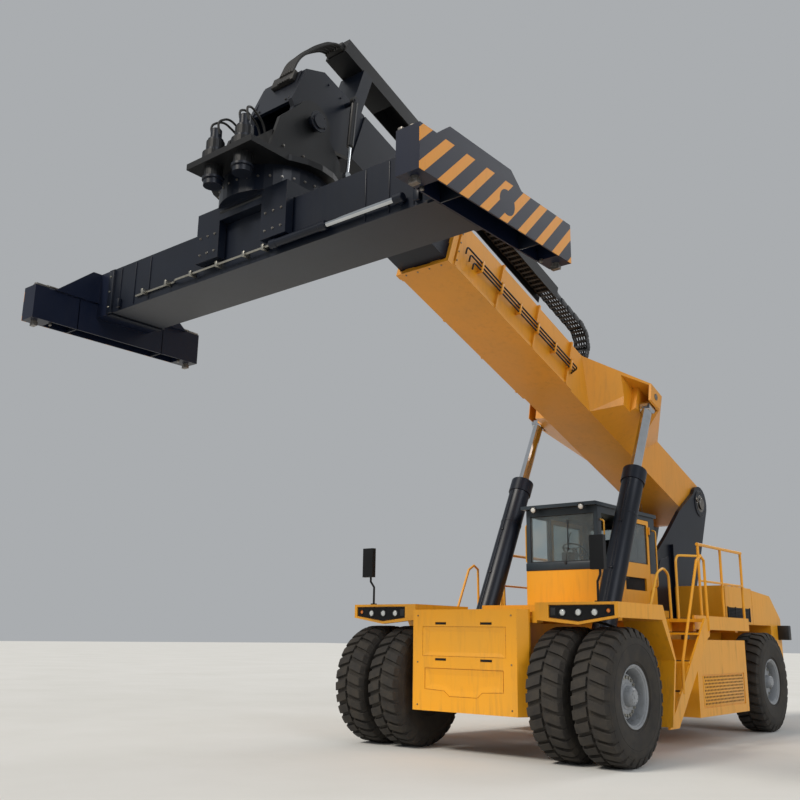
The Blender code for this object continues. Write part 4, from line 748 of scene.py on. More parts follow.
# %% Hose chain links
CHAIN_X, LINK_PITCH = 0.15, 0.105
chain_local = BOOM.inverted()
corners = [chain_local @ v.co for v in nodes["energy_chain"].data.vertices]
chain_top = max(c.z for c in corners)
chain_bottom = min(c.z for c in corners)
chain_front = max(-c.y for c in corners)
chain_rear = min(-c.y for c in corners)
bend = (chain_top - chain_bottom) / 2
mid_radius = bend - 0.06
centre_s, centre_n = chain_rear + bend, chain_bottom + bend
straight_top = chain_front - centre_s
half_turn = pi * mid_radius
length = straight_top + half_turn + 0.85


def chain_point(travel):
    """Place and heading (angle) of the chain's middle line at a distance from its front end."""
    if travel < straight_top:
        return chain_front - travel, centre_n + mid_radius, pi
    if travel < straight_top + half_turn:
        t = (travel - straight_top) / mid_radius
        return centre_s - mid_radius * sin(t), centre_n + mid_radius * cos(t), pi + t
    return centre_s + travel - straight_top - half_turn, centre_n - mid_radius, 2 * pi


bm = bmesh.new()
count = int(length / LINK_PITCH)
for i in range(count):
    s, n, heading = chain_point((i + 0.5) * LINK_PITCH)
    wide = 0.128 if i % 2 else 0.120
    place = (Matrix.Translation((CHAIN_X, -s, n)) @ Matrix.Rotation(-heading + pi, 4, "X"))
    for side in (1, -1):
        block(bm, (side * wide, -0.066, -0.050), (side * (wide - 0.009), 0.066, 0.050), 0.010, place)
        disc(bm, place @ Vector((side * (wide + 0.001), -0.045, 0)), (1, 0, 0), 0.018, 0.006, 12)
    for z in (-0.050, 0.050):
        block(bm, (-wide, -0.020, z - 0.006), (wide, 0.020, z + 0.006), 0.003, place)
make_piece("hose_chain_links", bm, moulded_plastic, "hose_chain", BOOM,
           stands_for=("energy_chain",))

bm = bmesh.new()
for k in range(5):
    x = CHAIN_X - 0.088 + 0.044 * k
    route = []
    steps = 60
    for i in range(steps + 1):
        s, n, _ = chain_point(0.02 + (length - 0.04) * i / steps)
        route.append((x, -s, n))
    pipe(bm, route, 0.014, 0.02, 8)
make_piece("hoses_in_chain", bm, hose_rubber, "hose_chain", BOOM)
print("links:", count)

# %% [markdown]
# ## Hose channel and boom head
# The trough is a folded plate with ribs across it. At the head the hoses leave
# it through a clamp, drop in a loose bundle over the nose, and end on a valve block that is bolted
# to the head.

# %% Channel details
bm = bmesh.new()
RUNG_PITCH = 0.095
for s in [9.88 + RUNG_PITCH * i for i in range(11)]:
    block(bm, (CHAIN_X - 0.160, -s - 0.014, 1.1895), (CHAIN_X + 0.160, -s + 0.014, 1.1945), 0.002)
for s in [5.75 + 0.55 * i for i in range(8)]:
    block(bm, (CHAIN_X - 0.168, -s - 0.018, 1.1895), (CHAIN_X + 0.168, -s + 0.018, 1.1945), 0.002)
make_piece("channel_ribs", bm, black_paint, "boom_extension", BOOM)

bm = bmesh.new()
for k in range(7):
    x = CHAIN_X - 0.12 + 0.04 * k
    lean = 0.02 * (k % 3)
    pipe(bm, [(x, -10.70, 1.06), (x, -10.98 - lean, 1.02), (x * 0.9, -11.20 - lean, 0.72 - lean),
              (x * 0.8, -11.36, 0.36), (x * 0.8, -11.372, 0.10)], 0.016, 0.20, 12)
make_piece("hoses_over_head", bm, hose_rubber, "boom_extension", BOOM)

bm = bmesh.new()
block(bm, (-0.10, -11.372, -0.02), (0.26, -11.318, 0.13), 0.006)
for k in range(5):
    x = (CHAIN_X - 0.10 + 0.05 * k) * 0.8
    disc(bm, (x, -11.372, 0.13), (0, 0, 1), 0.022, 0.04, 6)
    disc(bm, (x, -11.372, -0.01), (0, 0, 1), 0.018, 0.03, 6)
for x in (-0.28, -0.22, 0.22, 0.28):
    bolt(bm, (x, -11.322, -0.3), (0, -1, 0), 0.012)
block(bm, (CHAIN_X - 0.13, -10.92, 0.99), (CHAIN_X + 0.13, -10.86, 1.10), 0.006)
make_piece("head_valve_block", bm, oily_casting, "boom_extension", BOOM)

bm = bmesh.new()
for side in (1, -1):
    disc(bm, (side * 0.506, -10.99, -0.47), (1, 0, 0), 0.125, 0.016, 40)
    bar(bm, (side * 0.50, -10.99, -0.47), (side * 0.53, -10.99, -0.47), 0.085, 32)
    for t in (0.5, 1.7, 2.9):
        bolt(bm, (side * 0.514, -10.99 + 0.105 * cos(t * 2.1), -0.47 + 0.105 * sin(t * 2.1)), (side, 0, 0),
             0.010)
    for s in (10.50, 10.72, 10.94):
        bolt(bm, (side * 0.362, -s, 0.26), (side, 0, 0), 0.011)
make_piece("head_pin_caps", bm, navy_paint, "boom_extension", BOOM)

# %% [markdown]
# ## The front: nose, fenders and lamps
# The nose panel has recessed fields, folded from thick plate. Each fender carries three round lamps
# in a black inset, and the lamps are made as real ones are: a bezel, a bowl and a domed lens.


# %% Lamps
def lamp(bodies, centre, direction, radius):
    """Adds a housing with its bezel, and a domed lens, to two bmeshes."""
    housing, lens = bodies
    place = Matrix.Translation(centre) @ towards(direction)
    lathe(housing, [(radius * 0.80, 0.006), (radius * 0.88, 0.012), (radius, 0.004), (radius, -0.02),
                    (radius * 0.92, -0.030), (0, -0.030)], 32, place)
    lathe(lens, [(0, 0.012), (radius * 0.40, 0.010), (radius * 0.70, 0.004), (radius * 0.82, -0.004),
                 (0, -0.010)], 32,
          place)


housing, lens, amber = bmesh.new(), bmesh.new(), bmesh.new()
inset = bmesh.new()
for side, label in SIDES:
    outline = [(1.155, 1.722), (1.155, 1.868), (2.043, 1.868), (2.043, 1.746), (1.56, 1.676)]
    points = [(side * x, z) for x, z in outline]
    outline_plate(inset, points, -0.3855, -0.3752, "Y")
    for k, x in enumerate((1.34, 1.56, 1.78)):
        lamp((housing, lens), (side * x, -0.388, 1.782), (0, -1, 0), 0.052)
    lamp((housing, amber), (side * 1.965, -0.386, 1.80), (0, -1, 0), 0.036)
    block(housing, (side * 1.175, -0.392, 1.745), (side * 1.245, -0.374, 1.84), 0.006)
make_piece("lamp_insets", inset, black_and_painted_shade, "chassis", bevel=0.002)
make_piece("headlamp_housings", housing, moulded_plastic, "chassis")
make_piece("headlamp_lenses", lens, lamp_glass, "chassis")
make_piece("side_marker_lenses", amber, amber_lens, "chassis")

# %% Nose details
NOSE_Y = -0.62
bm = bmesh.new()
for side in (1, -1):
    for x, z in ((0.74, 1.74), (0.74, 0.60), (0.74, 1.14)):
        bolt(bm, (side * x, NOSE_Y, z), (0, -1, 0), 0.009)
make_piece("nose_bolts", bm, bare_steel, "chassis")



def dished_field(bm, outer, inner):
    """A folded tray that fills a recess: its sides slope from an outer outline down to an inner one."""
    rings = [[bm.verts.new((x, y, z)) for x, z in outline]
             for outline, y in ((outer, NOSE_Y + 0.06), (outer, NOSE_Y + 0.001), (inner, NOSE_Y + 0.0132))]
    for first, second in zip(rings, rings[1:]):
        for i in range(len(first)):
            j = (i + 1) % len(first)
            bm.faces.new((first[i], first[j], second[j], second[i]))
    bm.faces.new(rings[-1])
    bm.faces.new(list(reversed(rings[0])))


bm = bmesh.new()
dished_field(bm, [(-0.655, 1.225), (0.655, 1.225), (0.655, 1.595), (-0.655, 1.595)],
             [(-0.575, 1.275), (0.575, 1.275), (0.575, 1.535), (-0.575, 1.535)])
dished_field(bm, [(-0.612, 1.062), (-0.612, 0.806), (-0.298, 0.790), (-0.218, 0.726), (0.218, 0.726),
                  (0.298, 0.790), (0.612, 0.806), (0.612, 1.062)],
             [(-0.520, 0.985), (-0.520, 0.872), (-0.262, 0.858), (-0.190, 0.800), (0.190, 0.800),
              (0.262, 0.858), (0.520, 0.872), (0.520, 0.985)])
make_piece("nose_fields", bm, yellow_paint, "chassis", angle=8)
# The slots are thin dark blocks on the nose: painted shade inside them.
bm = bmesh.new()
for x in (-0.36, 0.36):
    for z in (1.18, 1.64):
        block(bm, (x - 0.080, NOSE_Y - 0.003, z - 0.012), (x + 0.080, NOSE_Y + 0.012, z + 0.012), 0.003)
make_piece("nose_slots", bm, black_and_painted_shade, "chassis")

# %% Fender folds and stays
bm = bmesh.new()
for side in (1, -1):
    block(bm, (side * 1.0, -0.30, 1.895), (side * 2.06, 0.83, 1.9049), 0.002)
    for y in (-0.2, 0.25, 0.7):
        for x in (1.1, 1.5, 1.9):
            bolt(bm, (side * x, y, 1.892), (0, 0, 1), 0.008)
make_piece("fender_tops", bm, yellow_paint, "chassis")
bm = bmesh.new()
for side in (1, -1):
    pipe(bm, [(side * 0.99, 0.70, 1.76), (side * 1.45, 0.86, 1.62), (side * 1.62, 0.99, 1.44)], 0.018, 0.08)
    pipe(bm, [(side * 0.92, -0.25, 1.70), (side * 1.4, -0.20, 1.80), (side * 1.9, -0.1, 1.86)], 0.016, 0.08)
make_piece("fender_stays", bm, black_paint, "chassis")

# %% [markdown]
# ## Cab
# The windows sit in black rubber. A wiper sweeps the windscreen, grab bars flank the doors, and a
# work lamp and a warning beacon stand at the roof. Inside are a sprung seat, a wheel with three
# spokes, and a screen.

# %% Window gaskets
CAB_HALF, CAB_FRONT, CAB_REAR = 0.63, 2.0, 4.02


def gasket(bm, low, high, across, wide=0.022, proud=0.006):
    """Rubber frame round a pane, from the pane's box."""
    low, high = Vector(low), Vector(high)
    axis = "XYZ".index(across)
    others = [i for i in range(3) if i != axis]
    for end in (low, high):
        for which, other in ((others[0], others[1]), (others[1], others[0])):
            a, b = low.copy(), high.copy()
            a[which] = end[which] - wide / 2
            b[which] = end[which] + wide / 2
            a[other] -= wide / 2
            b[other] += wide / 2
            a[axis] -= proud
            b[axis] += proud
            block(bm, a, b, 0.005)


for name, body in (("windscreen", "chassis"), ("rear_window", "chassis"),
                   ("cab_door_left_glass", "door_left"),
                   ("cab_door_right_glass", "door_right")):
    low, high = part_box(name)
    across = "X" if "door" in name else "Y"
    bm = bmesh.new()
    gasket(bm, low, high, across)
    make_piece(name + "_gasket", bm, gasket_rubber, body, Matrix.Identity(4))

# %% Cab outside details
SHELL_LOW, SHELL_TOP = 2.52, 3.50
bm = bmesh.new()
block(bm, (-CAB_HALF - 0.002, CAB_FRONT - 0.012, SHELL_LOW - 0.03),
      (CAB_HALF + 0.002, CAB_FRONT + 0.03, SHELL_LOW + 0.09),
      0.01)
block(bm, (-CAB_HALF - 0.028, CAB_FRONT - 0.096, SHELL_TOP - 0.02),
      (CAB_HALF + 0.028, CAB_REAR + 0.036, SHELL_TOP - 0.002),
      0.015)
for side in (1, -1):
    block(bm, (side * 0.622, CAB_FRONT + 0.02, SHELL_LOW + 0.01), (side * 0.634, 2.70, SHELL_LOW + 0.06),
          0.003)
make_piece("cab_trim_band", bm, slate_paint, "chassis")

bm = bmesh.new()
for side in (1, -1):
    pipe(bm, [(side * 0.62, 2.10, 2.62), (side * 0.69, 2.10, 2.64), (side * 0.69, 2.10, 3.22),
              (side * 0.62, 2.10, 3.24)],
         0.013, 0.04)
    pipe(bm, [(side * 0.62, 3.93, 2.30), (side * 0.69, 3.93, 2.32), (side * 0.69, 3.93, 3.22),
              (side * 0.62, 3.93, 3.24)],
         0.013, 0.04)
make_piece("cab_grab_bars", bm, rail_yellow, "chassis")

bm = bmesh.new()
pipe(bm, [(0.08, CAB_FRONT + 0.01, 2.60), (0.08, CAB_FRONT - 0.02, 2.60), (0.16, CAB_FRONT - 0.01, 3.02),
          (0.17, CAB_FRONT + 0.015, 3.05)], 0.006, 0.02, 8)
block(bm, (0.10, CAB_FRONT + 0.016, 2.78), (0.115, CAB_FRONT + 0.030, 3.26), 0.003)
disc(bm, (0.08, CAB_FRONT - 0.01, 2.60), (0, 1, 0), 0.022, 0.04, 16)
pipe(bm, [(0.24, CAB_REAR + 0.01, 2.57), (0.24, CAB_REAR + 0.03, 2.58), (0.32, CAB_REAR + 0.02, 2.95)], 0.006,
     0.02, 8)
block(bm, (0.313, CAB_REAR - 0.02, 2.72), (0.327, CAB_REAR - 0.006, 3.16), 0.003)
make_piece("cab_wipers", bm, moulded_plastic, "chassis")

housing, lens = bmesh.new(), bmesh.new()
for x in (-0.42, 0.42):
    lamp((housing, lens), (x, CAB_FRONT - 0.118, SHELL_TOP - 0.075), (0, -1, -0.25), 0.055)
    lamp((housing, lens), (x, CAB_REAR + 0.058, SHELL_TOP - 0.09), (0, 1, -0.25), 0.055)
    block(housing, (x - 0.012, CAB_FRONT - 0.10, SHELL_TOP - 0.06),
          (x + 0.012, CAB_FRONT - 0.06, SHELL_TOP - 0.01), 0.003)
make_piece("cab_work_lamps", housing, moulded_plastic, "chassis")
make_piece("cab_work_lamp_lenses", lens, lamp_glass, "chassis")

bm = bmesh.new()
lathe(bm, [(0, 0.115), (0.03, 0.112), (0.048, 0.095), (0.052, 0.03), (0.055, 0.0), (0, 0.0)], 32,
      Matrix.Translation((-0.55, 3.6, SHELL_TOP + 0.02)) @ towards((0, 0, 1)))
make_piece("warning_beacon", bm, amber_lens, "chassis")
bm = bmesh.new()
disc(bm, (-0.55, 3.6, SHELL_TOP + 0.01), (0, 0, 1), 0.062, 0.024, 32)
pipe(bm, [(0.58, 3.7, SHELL_TOP - 0.01), (0.58, 3.7, SHELL_TOP + 0.16)], 0.004, 0.01, 8)
block(bm, (-0.28, 2.35, SHELL_TOP - 0.004), (0.30, 3.05, SHELL_TOP + 0.07), 0.03)
make_piece("cab_roof_unit", bm, slate_paint, "chassis")

# %% Door handles and lower panes
# Each lower pane is an opaque dark sheet: painted shade in place of glass with the cab's inside behind it.
for side, label in SIDES:
    bm = bmesh.new()
    block(bm, (side * 0.628, 2.77, 2.36), (side * 0.648, 2.87, 2.42), 0.006)
    pipe(bm, [(side * 0.63, 2.80, 2.40), (side * 0.668, 2.80, 2.40), (side * 0.668, 2.92, 2.40),
              (side * 0.64, 2.93, 2.40)],
         0.008, 0.015, 8)
    make_piece(f"door_handle_{label}", bm, moulded_plastic, f"door_{label}")
    bm = bmesh.new()
    block(bm, (side * 0.590, 2.882, 2.231), (side * 0.600, 3.638, 2.430), 0.003)
    make_piece(f"door_lower_pane_{label}", bm, black_and_painted_shade, f"door_{label}")

# %% [markdown]
# ## Seat and controls
# The cushions are soft, crowned blocks. A subdivided cube with its sides pulled in gives that
# shape: fullest in the middle of each face and tight at the piped seams.


# %% Seat
def cushion(name, low, high, tilt=0.0, crown=0.022):
    low, high = Vector(low), Vector(high)
    size, middle = high - low, (low + high) / 2
    bm = bmesh.new()
    bmesh.ops.create_cube(bm, size=1.0)
    bmesh.ops.subdivide_edges(bm, edges=bm.edges, cuts=7, use_grid_fill=True)
    thin = min(range(3), key=lambda i: size[i])
    for vert in bm.verts:
        u = [2 * c for c in vert.co]
        flat = [i for i in range(3) if i != thin]
        dome = (1 - u[flat[0]] ** 4) * (1 - u[flat[1]] ** 4)
        seam = 0.5 + 0.5 * cos(u[flat[0]] * pi * 2.0)
        place = Vector([c * s for c, s in zip(vert.co, size)])
        rim = max(abs(u[flat[0]]), abs(u[flat[1]]))
        shrink = crown * (rim ** 6) * (u[thin] ** 2)
        for i in flat:
            place[i] -= shrink * (1 if u[i] > 0 else -1) * abs(u[i])
        place[thin] = u[thin] * (size[thin] / 2 - crown + crown * dome - 0.006 * seam * dome)
        vert.co = place
    turn = Matrix.Rotation(tilt, 4, "X")
    bmesh.ops.transform(bm, matrix=Matrix.Translation(middle) @ turn, verts=bm.verts)
    piece = make_piece(name, bm, seat_cloth, "chassis", angle=80)
    smooth = piece.modifiers.new("smooth", "SUBSURF")
    smooth.levels = smooth.render_levels = 1
    return piece


seat_low, seat_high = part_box("driver_seat")
seat_floor = seat_low.z
SEAT_Y = 3.02
base = cushion("seat_base_cushion", (-0.24, SEAT_Y - 0.25, seat_floor + 0.34),
               (0.24, SEAT_Y + 0.22, seat_floor + 0.455))
back = cushion("seat_back_cushion", (-0.22, SEAT_Y + 0.20, seat_floor + 0.44),
               (0.22, SEAT_Y + 0.32, seat_floor + 1.08),
               radians(-9))
bm = bmesh.new()
for i in range(5):
    z = seat_floor + 0.03 + 0.052 * i
    grow = 0.012 * (i % 2)
    block(bm, (-0.16 - grow, SEAT_Y - 0.15 - grow, z), (0.16 + grow, SEAT_Y + 0.17 + grow, z + 0.048), 0.012)
block(bm, (-0.19, SEAT_Y - 0.19, seat_floor), (0.19, SEAT_Y + 0.20, seat_floor + 0.03), 0.006)
block(bm, (-0.24, SEAT_Y - 0.22, seat_floor + 0.29), (0.24, SEAT_Y + 0.24, seat_floor + 0.345), 0.01)
for side in (1, -1):
    block(bm, (side * 0.262, SEAT_Y - 0.17, seat_floor + 0.585),
          (side * 0.325, SEAT_Y + 0.22, seat_floor + 0.635), 0.02)
    block(bm, (side * 0.27, SEAT_Y + 0.15, seat_floor + 0.40),
          (side * 0.30, SEAT_Y + 0.20, seat_floor + 0.60), 0.008)
    bar(bm, (side * 0.294, SEAT_Y - 0.12, seat_floor + 0.63),
        (side * 0.294, SEAT_Y - 0.14, seat_floor + 0.74), 0.014, 16)
    disc(bm, (side * 0.294, SEAT_Y - 0.143, seat_floor + 0.755), (0, 0, 1), 0.024, 0.05, 20, 0.4)
make_piece("seat_base_and_arms", bm, moulded_plastic, "chassis", stands_for=("driver_seat",))

# %% Steering wheel and console
console_low, console_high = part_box("steering_console")
column_floor = console_low.z
COLUMN_Y = CAB_FRONT + 0.30
wheel_centre = Vector((0, COLUMN_Y + 0.122, column_floor + 0.85))
wheel_axis = Vector((0, 0.015, 0.03)).normalized()
bm = bmesh.new()
place = Matrix.Translation(wheel_centre) @ towards(wheel_axis)
ring = [place @ Vector((0, 0.185 * cos(2 * pi * i / 40), 0.185 * sin(2 * pi * i / 40))) for i in range(41)]
pipe(bm, ring, 0.013, 0.001, 10)
disc(bm, wheel_centre, wheel_axis, 0.045, 0.03, 24)
for i in range(3):
    t = 2 * pi * i / 3 + 0.5
    tip = place @ Vector((0, 0.18 * cos(t), 0.18 * sin(t)))
    bar(bm, wheel_centre, tip, 0.010, 10)
bar(bm, place @ Vector((0.0, 0.185, 0)), place @ Vector((0.06, 0.185, 0)), 0.016, 16)
make_piece("steering_wheel", bm, moulded_plastic, "chassis")
bm = bmesh.new()
block(bm, (-0.15, COLUMN_Y - 0.12, column_floor), (0.15, COLUMN_Y + 0.09, column_floor + 0.66), 0.03)
block(bm, (-0.12, COLUMN_Y - 0.09, column_floor + 0.64), (0.12, COLUMN_Y + 0.02, column_floor + 0.80), 0.02)
bar(bm, (0, COLUMN_Y, column_floor + 0.60), wheel_centre, 0.028, 20)
block(bm, (0.34, CAB_FRONT + 0.20, column_floor + 0.62), (0.52, CAB_FRONT + 0.24, column_floor + 0.80), 0.01)
pipe(bm, [(0.43, CAB_FRONT + 0.24, column_floor), (0.43, CAB_FRONT + 0.24, column_floor + 0.64)], 0.014, 0.01,
     10)
for x in (-0.10, 0.10):
    block(bm, (x - 0.04, COLUMN_Y + 0.14, column_floor), (x + 0.04, COLUMN_Y + 0.26, column_floor + 0.03),
          0.008)
make_piece("console_and_screen", bm, moulded_plastic, "chassis",
           stands_for=("steering_console",))

# %% [markdown]
# ## Mirrors
# Each mirror is a moulded shell on a cranked tube, with silvered glass set into its rear face.

# %% Mirrors
bm, face, shell = bmesh.new(), bmesh.new(), bmesh.new()
for side, label in SIDES:
    low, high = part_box(f"mirror_{label}")
    x = (low.x + high.x) / 2
    front, head_low, head_high = low.y - AXLE_Y, 2.30, 2.72
    block(shell, (x - 0.093, front + 0.002, head_low + 0.002), (x + 0.093, front + 0.066, head_high - 0.002),
          0.022)
    block(face, (x - 0.078, front + 0.0665, head_low + 0.02), (x + 0.078, front + 0.0695, head_high - 0.02),
          0.001)
make_piece("mirror_shells", shell, moulded_plastic, "chassis")
make_piece("mirror_faces", face, mirror_glass, "chassis")

# %% [markdown]
# ## Side tanks, platforms and steps
# The left tank has a perforated vent field and a filler. Platform and steps are open safety
# grating, which keeps a boot from slipping. Small holes are drawn as thin dark discs of painted
# shade on the vent plate, where geometry gives the rim.

# %% Tanks
bm, holes, trim = bmesh.new(), bmesh.new(), bmesh.new()
for side, label in SIDES:
    low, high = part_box(f"side_box_{label}")
    face = high.x if side > 0 else low.x
    front, rear = low.y - AXLE_Y, high.y - AXLE_Y
    block(bm, (face - side * 0.0115, front + 0.18, low.z + 0.14), (face - side * 0.002, rear - 0.16, 0.97),
          0.004)
    for row in range(9):
        for column in range(28):
            y = front + 0.24 + 0.0555 * column + (0.02775 if row % 2 else 0)
            z = low.z + 0.175 + 0.046 * row
            disc(holes, (face - side * 0.0015, y, z), (1, 0, 0), 0.015, 0.0012, 10, 0.3)
    for y in (front + 0.06, (front + rear) / 2, rear - 0.06):
        for z in (low.z + 0.05, 1.05, high.z - 0.05):
            bolt(trim, (face - side * 0.008, y, z), (side, 0, 0), 0.008)
    bar(trim, (face - side * 0.30, front + 0.35, high.z), (face - side * 0.30, front + 0.35, high.z + 0.07),
        0.06, 28)
make_piece("tank_vent_plates", bm, yellow_paint, "chassis")
# The holes are thin dark discs: painted shade inside each hole.
make_piece("tank_vent_holes", holes, black_and_painted_shade, "chassis")
make_piece("tank_bolts_and_filler", trim, bare_steel, "chassis")

# %% Gratings
PLATFORM_Z = 1.775
bm = bmesh.new()
for side in (1, -1):
    for i in range(38):
        y = 2.66 + 0.057 * i
        block(bm, (side * 0.88, y, PLATFORM_Z - 0.004), (side * 1.76, y + 0.012, PLATFORM_Z + 0.012), 0.002)
    for i in range(8):
        x = 0.90 + 0.12 * i
        block(bm, (side * x, 2.64, PLATFORM_Z - 0.004), (side * (x + 0.008), 4.84, PLATFORM_Z + 0.008), 0.002)
    for step in range(4):
        z = 0.42 + step * (PLATFORM_Z - 0.10) / 4.35
        y = 1.14 + step * 0.37
        for k in range(6):
            block(bm, (side * 1.44, y + 0.014 + 0.05 * k, z - 0.002),
                  (side * 1.96, y + 0.026 + 0.05 * k, z + 0.010), 0.002)
        for k in range(9):
            x = 1.46 + 0.06 * k
            block(bm, (side * x, y + 0.01, z - 0.002), (side * (x + 0.006), y + 0.29, z + 0.006), 0.001)
make_piece("platform_gratings", bm, black_paint, "chassis")
bm = bmesh.new()
for side in (1, -1):
    for y in (3.02, 3.915, 4.81):
        block(bm, (side * 1.72, y - 0.035, PLATFORM_Z), (side * 1.79, y + 0.035, PLATFORM_Z + 0.012), 0.003)
        for k in (-1, 1):
            bolt(bm, (side * 1.755, y + 0.026 * k, PLATFORM_Z + 0.012), (0, 0, 1), 0.006)
    pipe(bm, [(side * 1.75, 2.98, 2.70), (side * 1.55, 2.72, 2.70), (side * 1.55, 2.66, 2.62),
              (side * 1.55, 2.66, PLATFORM_Z)],
         0.019, 0.08)
    pipe(bm, [(side * 1.50, 1.30, 0.74), (side * 1.50, 1.34, 1.10), (side * 1.45, 2.20, 2.42),
              (side * 1.45, 2.42, 2.50),
              (side * 1.45, 2.60, 2.42), (side * 1.45, 2.63, PLATFORM_Z)], 0.019, 0.08)
make_piece("platform_inner_rails", bm, rail_yellow, "chassis")

# %% [markdown]
# ## Hood and counterweight
# Black louvres let the engine breathe through the hood's sides. Lifting eyes, a tow pin and tail
# lamps dress the casting at the back.

# %% Hood louvres
bm, dark = bmesh.new(), bmesh.new()
hood_low, hood_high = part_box("engine_hood")
for side in (1, -1):
    face = side * hood_high.x
    block(dark, (face - side * 0.004, 4.98, 1.80), (face + side * 0.003, 6.05, 2.02), 0.001)
    for i in range(9):
        z = 1.812 + 0.023 * i
        block(bm, (face, 4.985, z), (face + side * 0.014, 6.045, z + 0.009), 0.003)
    for y in (5.00, 5.35, 5.70, 6.03):
        block(bm, (face - side * 0.002, y - 0.012, 1.79), (face + side * 0.018, y + 0.012, 2.03), 0.003)
# The vent backs are a dark sheet behind the louvres: painted shade.
make_piece("hood_vent_backs", dark, black_and_painted_shade, "chassis")
make_piece("hood_louvres", bm, black_paint, "chassis")
bm = bmesh.new()
top = hood_high.z
for side in (1, -1):
    block(bm, (side * 0.60, 4.96, top - 0.004), (side * 1.38, 5.50, top + 0.006), 0.003)
    block(bm, (side * 0.60, 5.53, top - 0.004), (side * 1.38, 6.02, top + 0.006), 0.003)
    for y in (5.10, 5.40, 5.62, 5.92):
        block(bm, (side * 1.36, y - 0.03, top - 0.002), (side * 1.40, y + 0.03, top + 0.014), 0.004)
make_piece("hood_lids", bm, yellow_paint, "chassis")
bm = bmesh.new()
pipe(bm, [(-0.95, 5.75, top - 0.02), (-0.95, 5.75, top + 0.36), (-0.95, 5.86, top + 0.48)], 0.055, 0.10, 20)
bar(bm, (-0.95, 5.75, top + 0.04), (-0.95, 5.75, top + 0.30), 0.082, 28)
make_piece("exhaust_stack", bm, bare_steel, "chassis")
# %% Counterweight details
rear_low, rear_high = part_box("counterweight")
REAR_Y = rear_high.y - AXLE_Y
housing, red, eyes = bmesh.new(), bmesh.new(), bmesh.new()
for side in (1, -1):
    for z in (1.57, 1.69):
        lamp((housing, red), (side * 1.525, REAR_Y - 0.054, z), (0, 1, 0), 0.048)
    block(housing, (side * 1.415, REAR_Y - 0.20, 1.50), (side * 1.62, REAR_Y - 0.06, 1.76), 0.012)
    for y in (6.40, 6.98):
        z = 2.345 - (y - 6.20) * 0.068
        ring = [(side * 1.05, y, z - 0.02), (side * 1.05, y - 0.05, z + 0.02),
                (side * 1.05, y - 0.05, z + 0.07),
                (side * 1.05, y, z + 0.10), (side * 1.05, y + 0.05, z + 0.07),
                (side * 1.05, y + 0.05, z + 0.02),
                (side * 1.05, y, z - 0.02)]
        pipe(eyes, ring, 0.014, 0.03, 10)
bar(eyes, (0, REAR_Y - 0.05, 0.80), (0, REAR_Y - 0.05, 1.16), 0.03, 20)
make_piece("tail_lamp_housings", housing, moulded_plastic, "chassis")
make_piece("tail_lamp_lenses", red, red_lens, "chassis")
make_piece("lifting_eyes_and_tow_pin", eyes, bare_steel, "chassis")

# %% [markdown]
# ## Under the deck
# A shaft takes the drive from the gearbox to the front axle. Brake drums sit inboard of the front
# wheels, and the steering cylinder pushes on the two knuckles. These show through the wheels and
# from below.

# %% Running gear
bm = bmesh.new()
bar(bm, (0, 0.40, 0.81), (0, 4.28, 1.18), 0.055, 24)
for y, z in ((0.46, 0.815), (4.20, 1.172)):
    disc(bm, (0, y, z), (0, 1, 0.095), 0.10, 0.05, 24)
    for i in range(6):
        t = 2 * pi * i / 6
        bolt(bm, (0.075 * cos(t), y - 0.03, z + 0.075 * sin(t)), (0, -1, 0), 0.008)
make_piece("drive_shaft", bm, bare_steel, "chassis")
bm = bmesh.new()
for side in (1, -1):
    disc(bm, (side * 0.86, 0, TYRE_RADIUS), (1, 0, 0), 0.235, 0.10, 48)
    for i in range(14):
        t = 2 * pi * i / 14
        bolt(bm, (side * 0.808, 0.205 * cos(t), TYRE_RADIUS + 0.205 * sin(t)), (-side, 0, 0), 0.010)
    disc(bm, (side * 0.375, 0, TYRE_RADIUS), (1, 0, 0), 0.275, 0.04, 40)
lathe(bm, [(0, 0.16), (0.10, 0.155), (0.19, 0.12), (0.25, 0.06), (0.285, 0.0), (0.0, 0.0)], 40,
      Matrix.Translation((0, -0.24, TYRE_RADIUS)) @ towards((0, -1, 0)))
make_piece("axle_drums_and_cover", bm, oily_casting, "chassis")
bm = bmesh.new()
for side in (1, -1):
    bar(bm, (side * 0.60, 6.24, TYRE_RADIUS), (side * 0.92, 6.24, TYRE_RADIUS), 0.035, 24)
make_piece("steering_rods", bm, chrome_rod, "chassis")

# %% Engine dressing
engine_low, engine_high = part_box("engine_block")
bm = bmesh.new()
ez = engine_high.z
for i in range(6):
    y = 4.42 + 0.21 * i
    block(bm, (-0.20, y, ez - 0.005), (0.20, y + 0.17, ez + 0.05), 0.015)
    for side in (1, -1):
        pipe(bm, [(side * 0.33, y + 0.08, ez - 0.14), (side * 0.40, y + 0.08, ez - 0.12),
                  (side * 0.40, y + 0.16, ez - 0.12)],
             0.03, 0.03, 12)
for side in (1, -1):
    bar(bm, (side * 0.40, 4.45, ez - 0.12), (side * 0.40, 5.62, ez - 0.12), 0.035, 20)
disc(bm, (0, 4.28, 1.30), (0, 1, 0), 0.24, 0.03, 40)
disc(bm, (0, 5.735, 1.25), (0, 1, 0), 0.28, 0.03, 40)
make_piece("engine_top_and_manifolds", bm, oily_casting, "chassis")

# %% [markdown]
# ## Boom tower dressing
# The two cheeks carry doubler plates round the pin, a row of bolts at their feet, and hose runs
# down their inner faces.

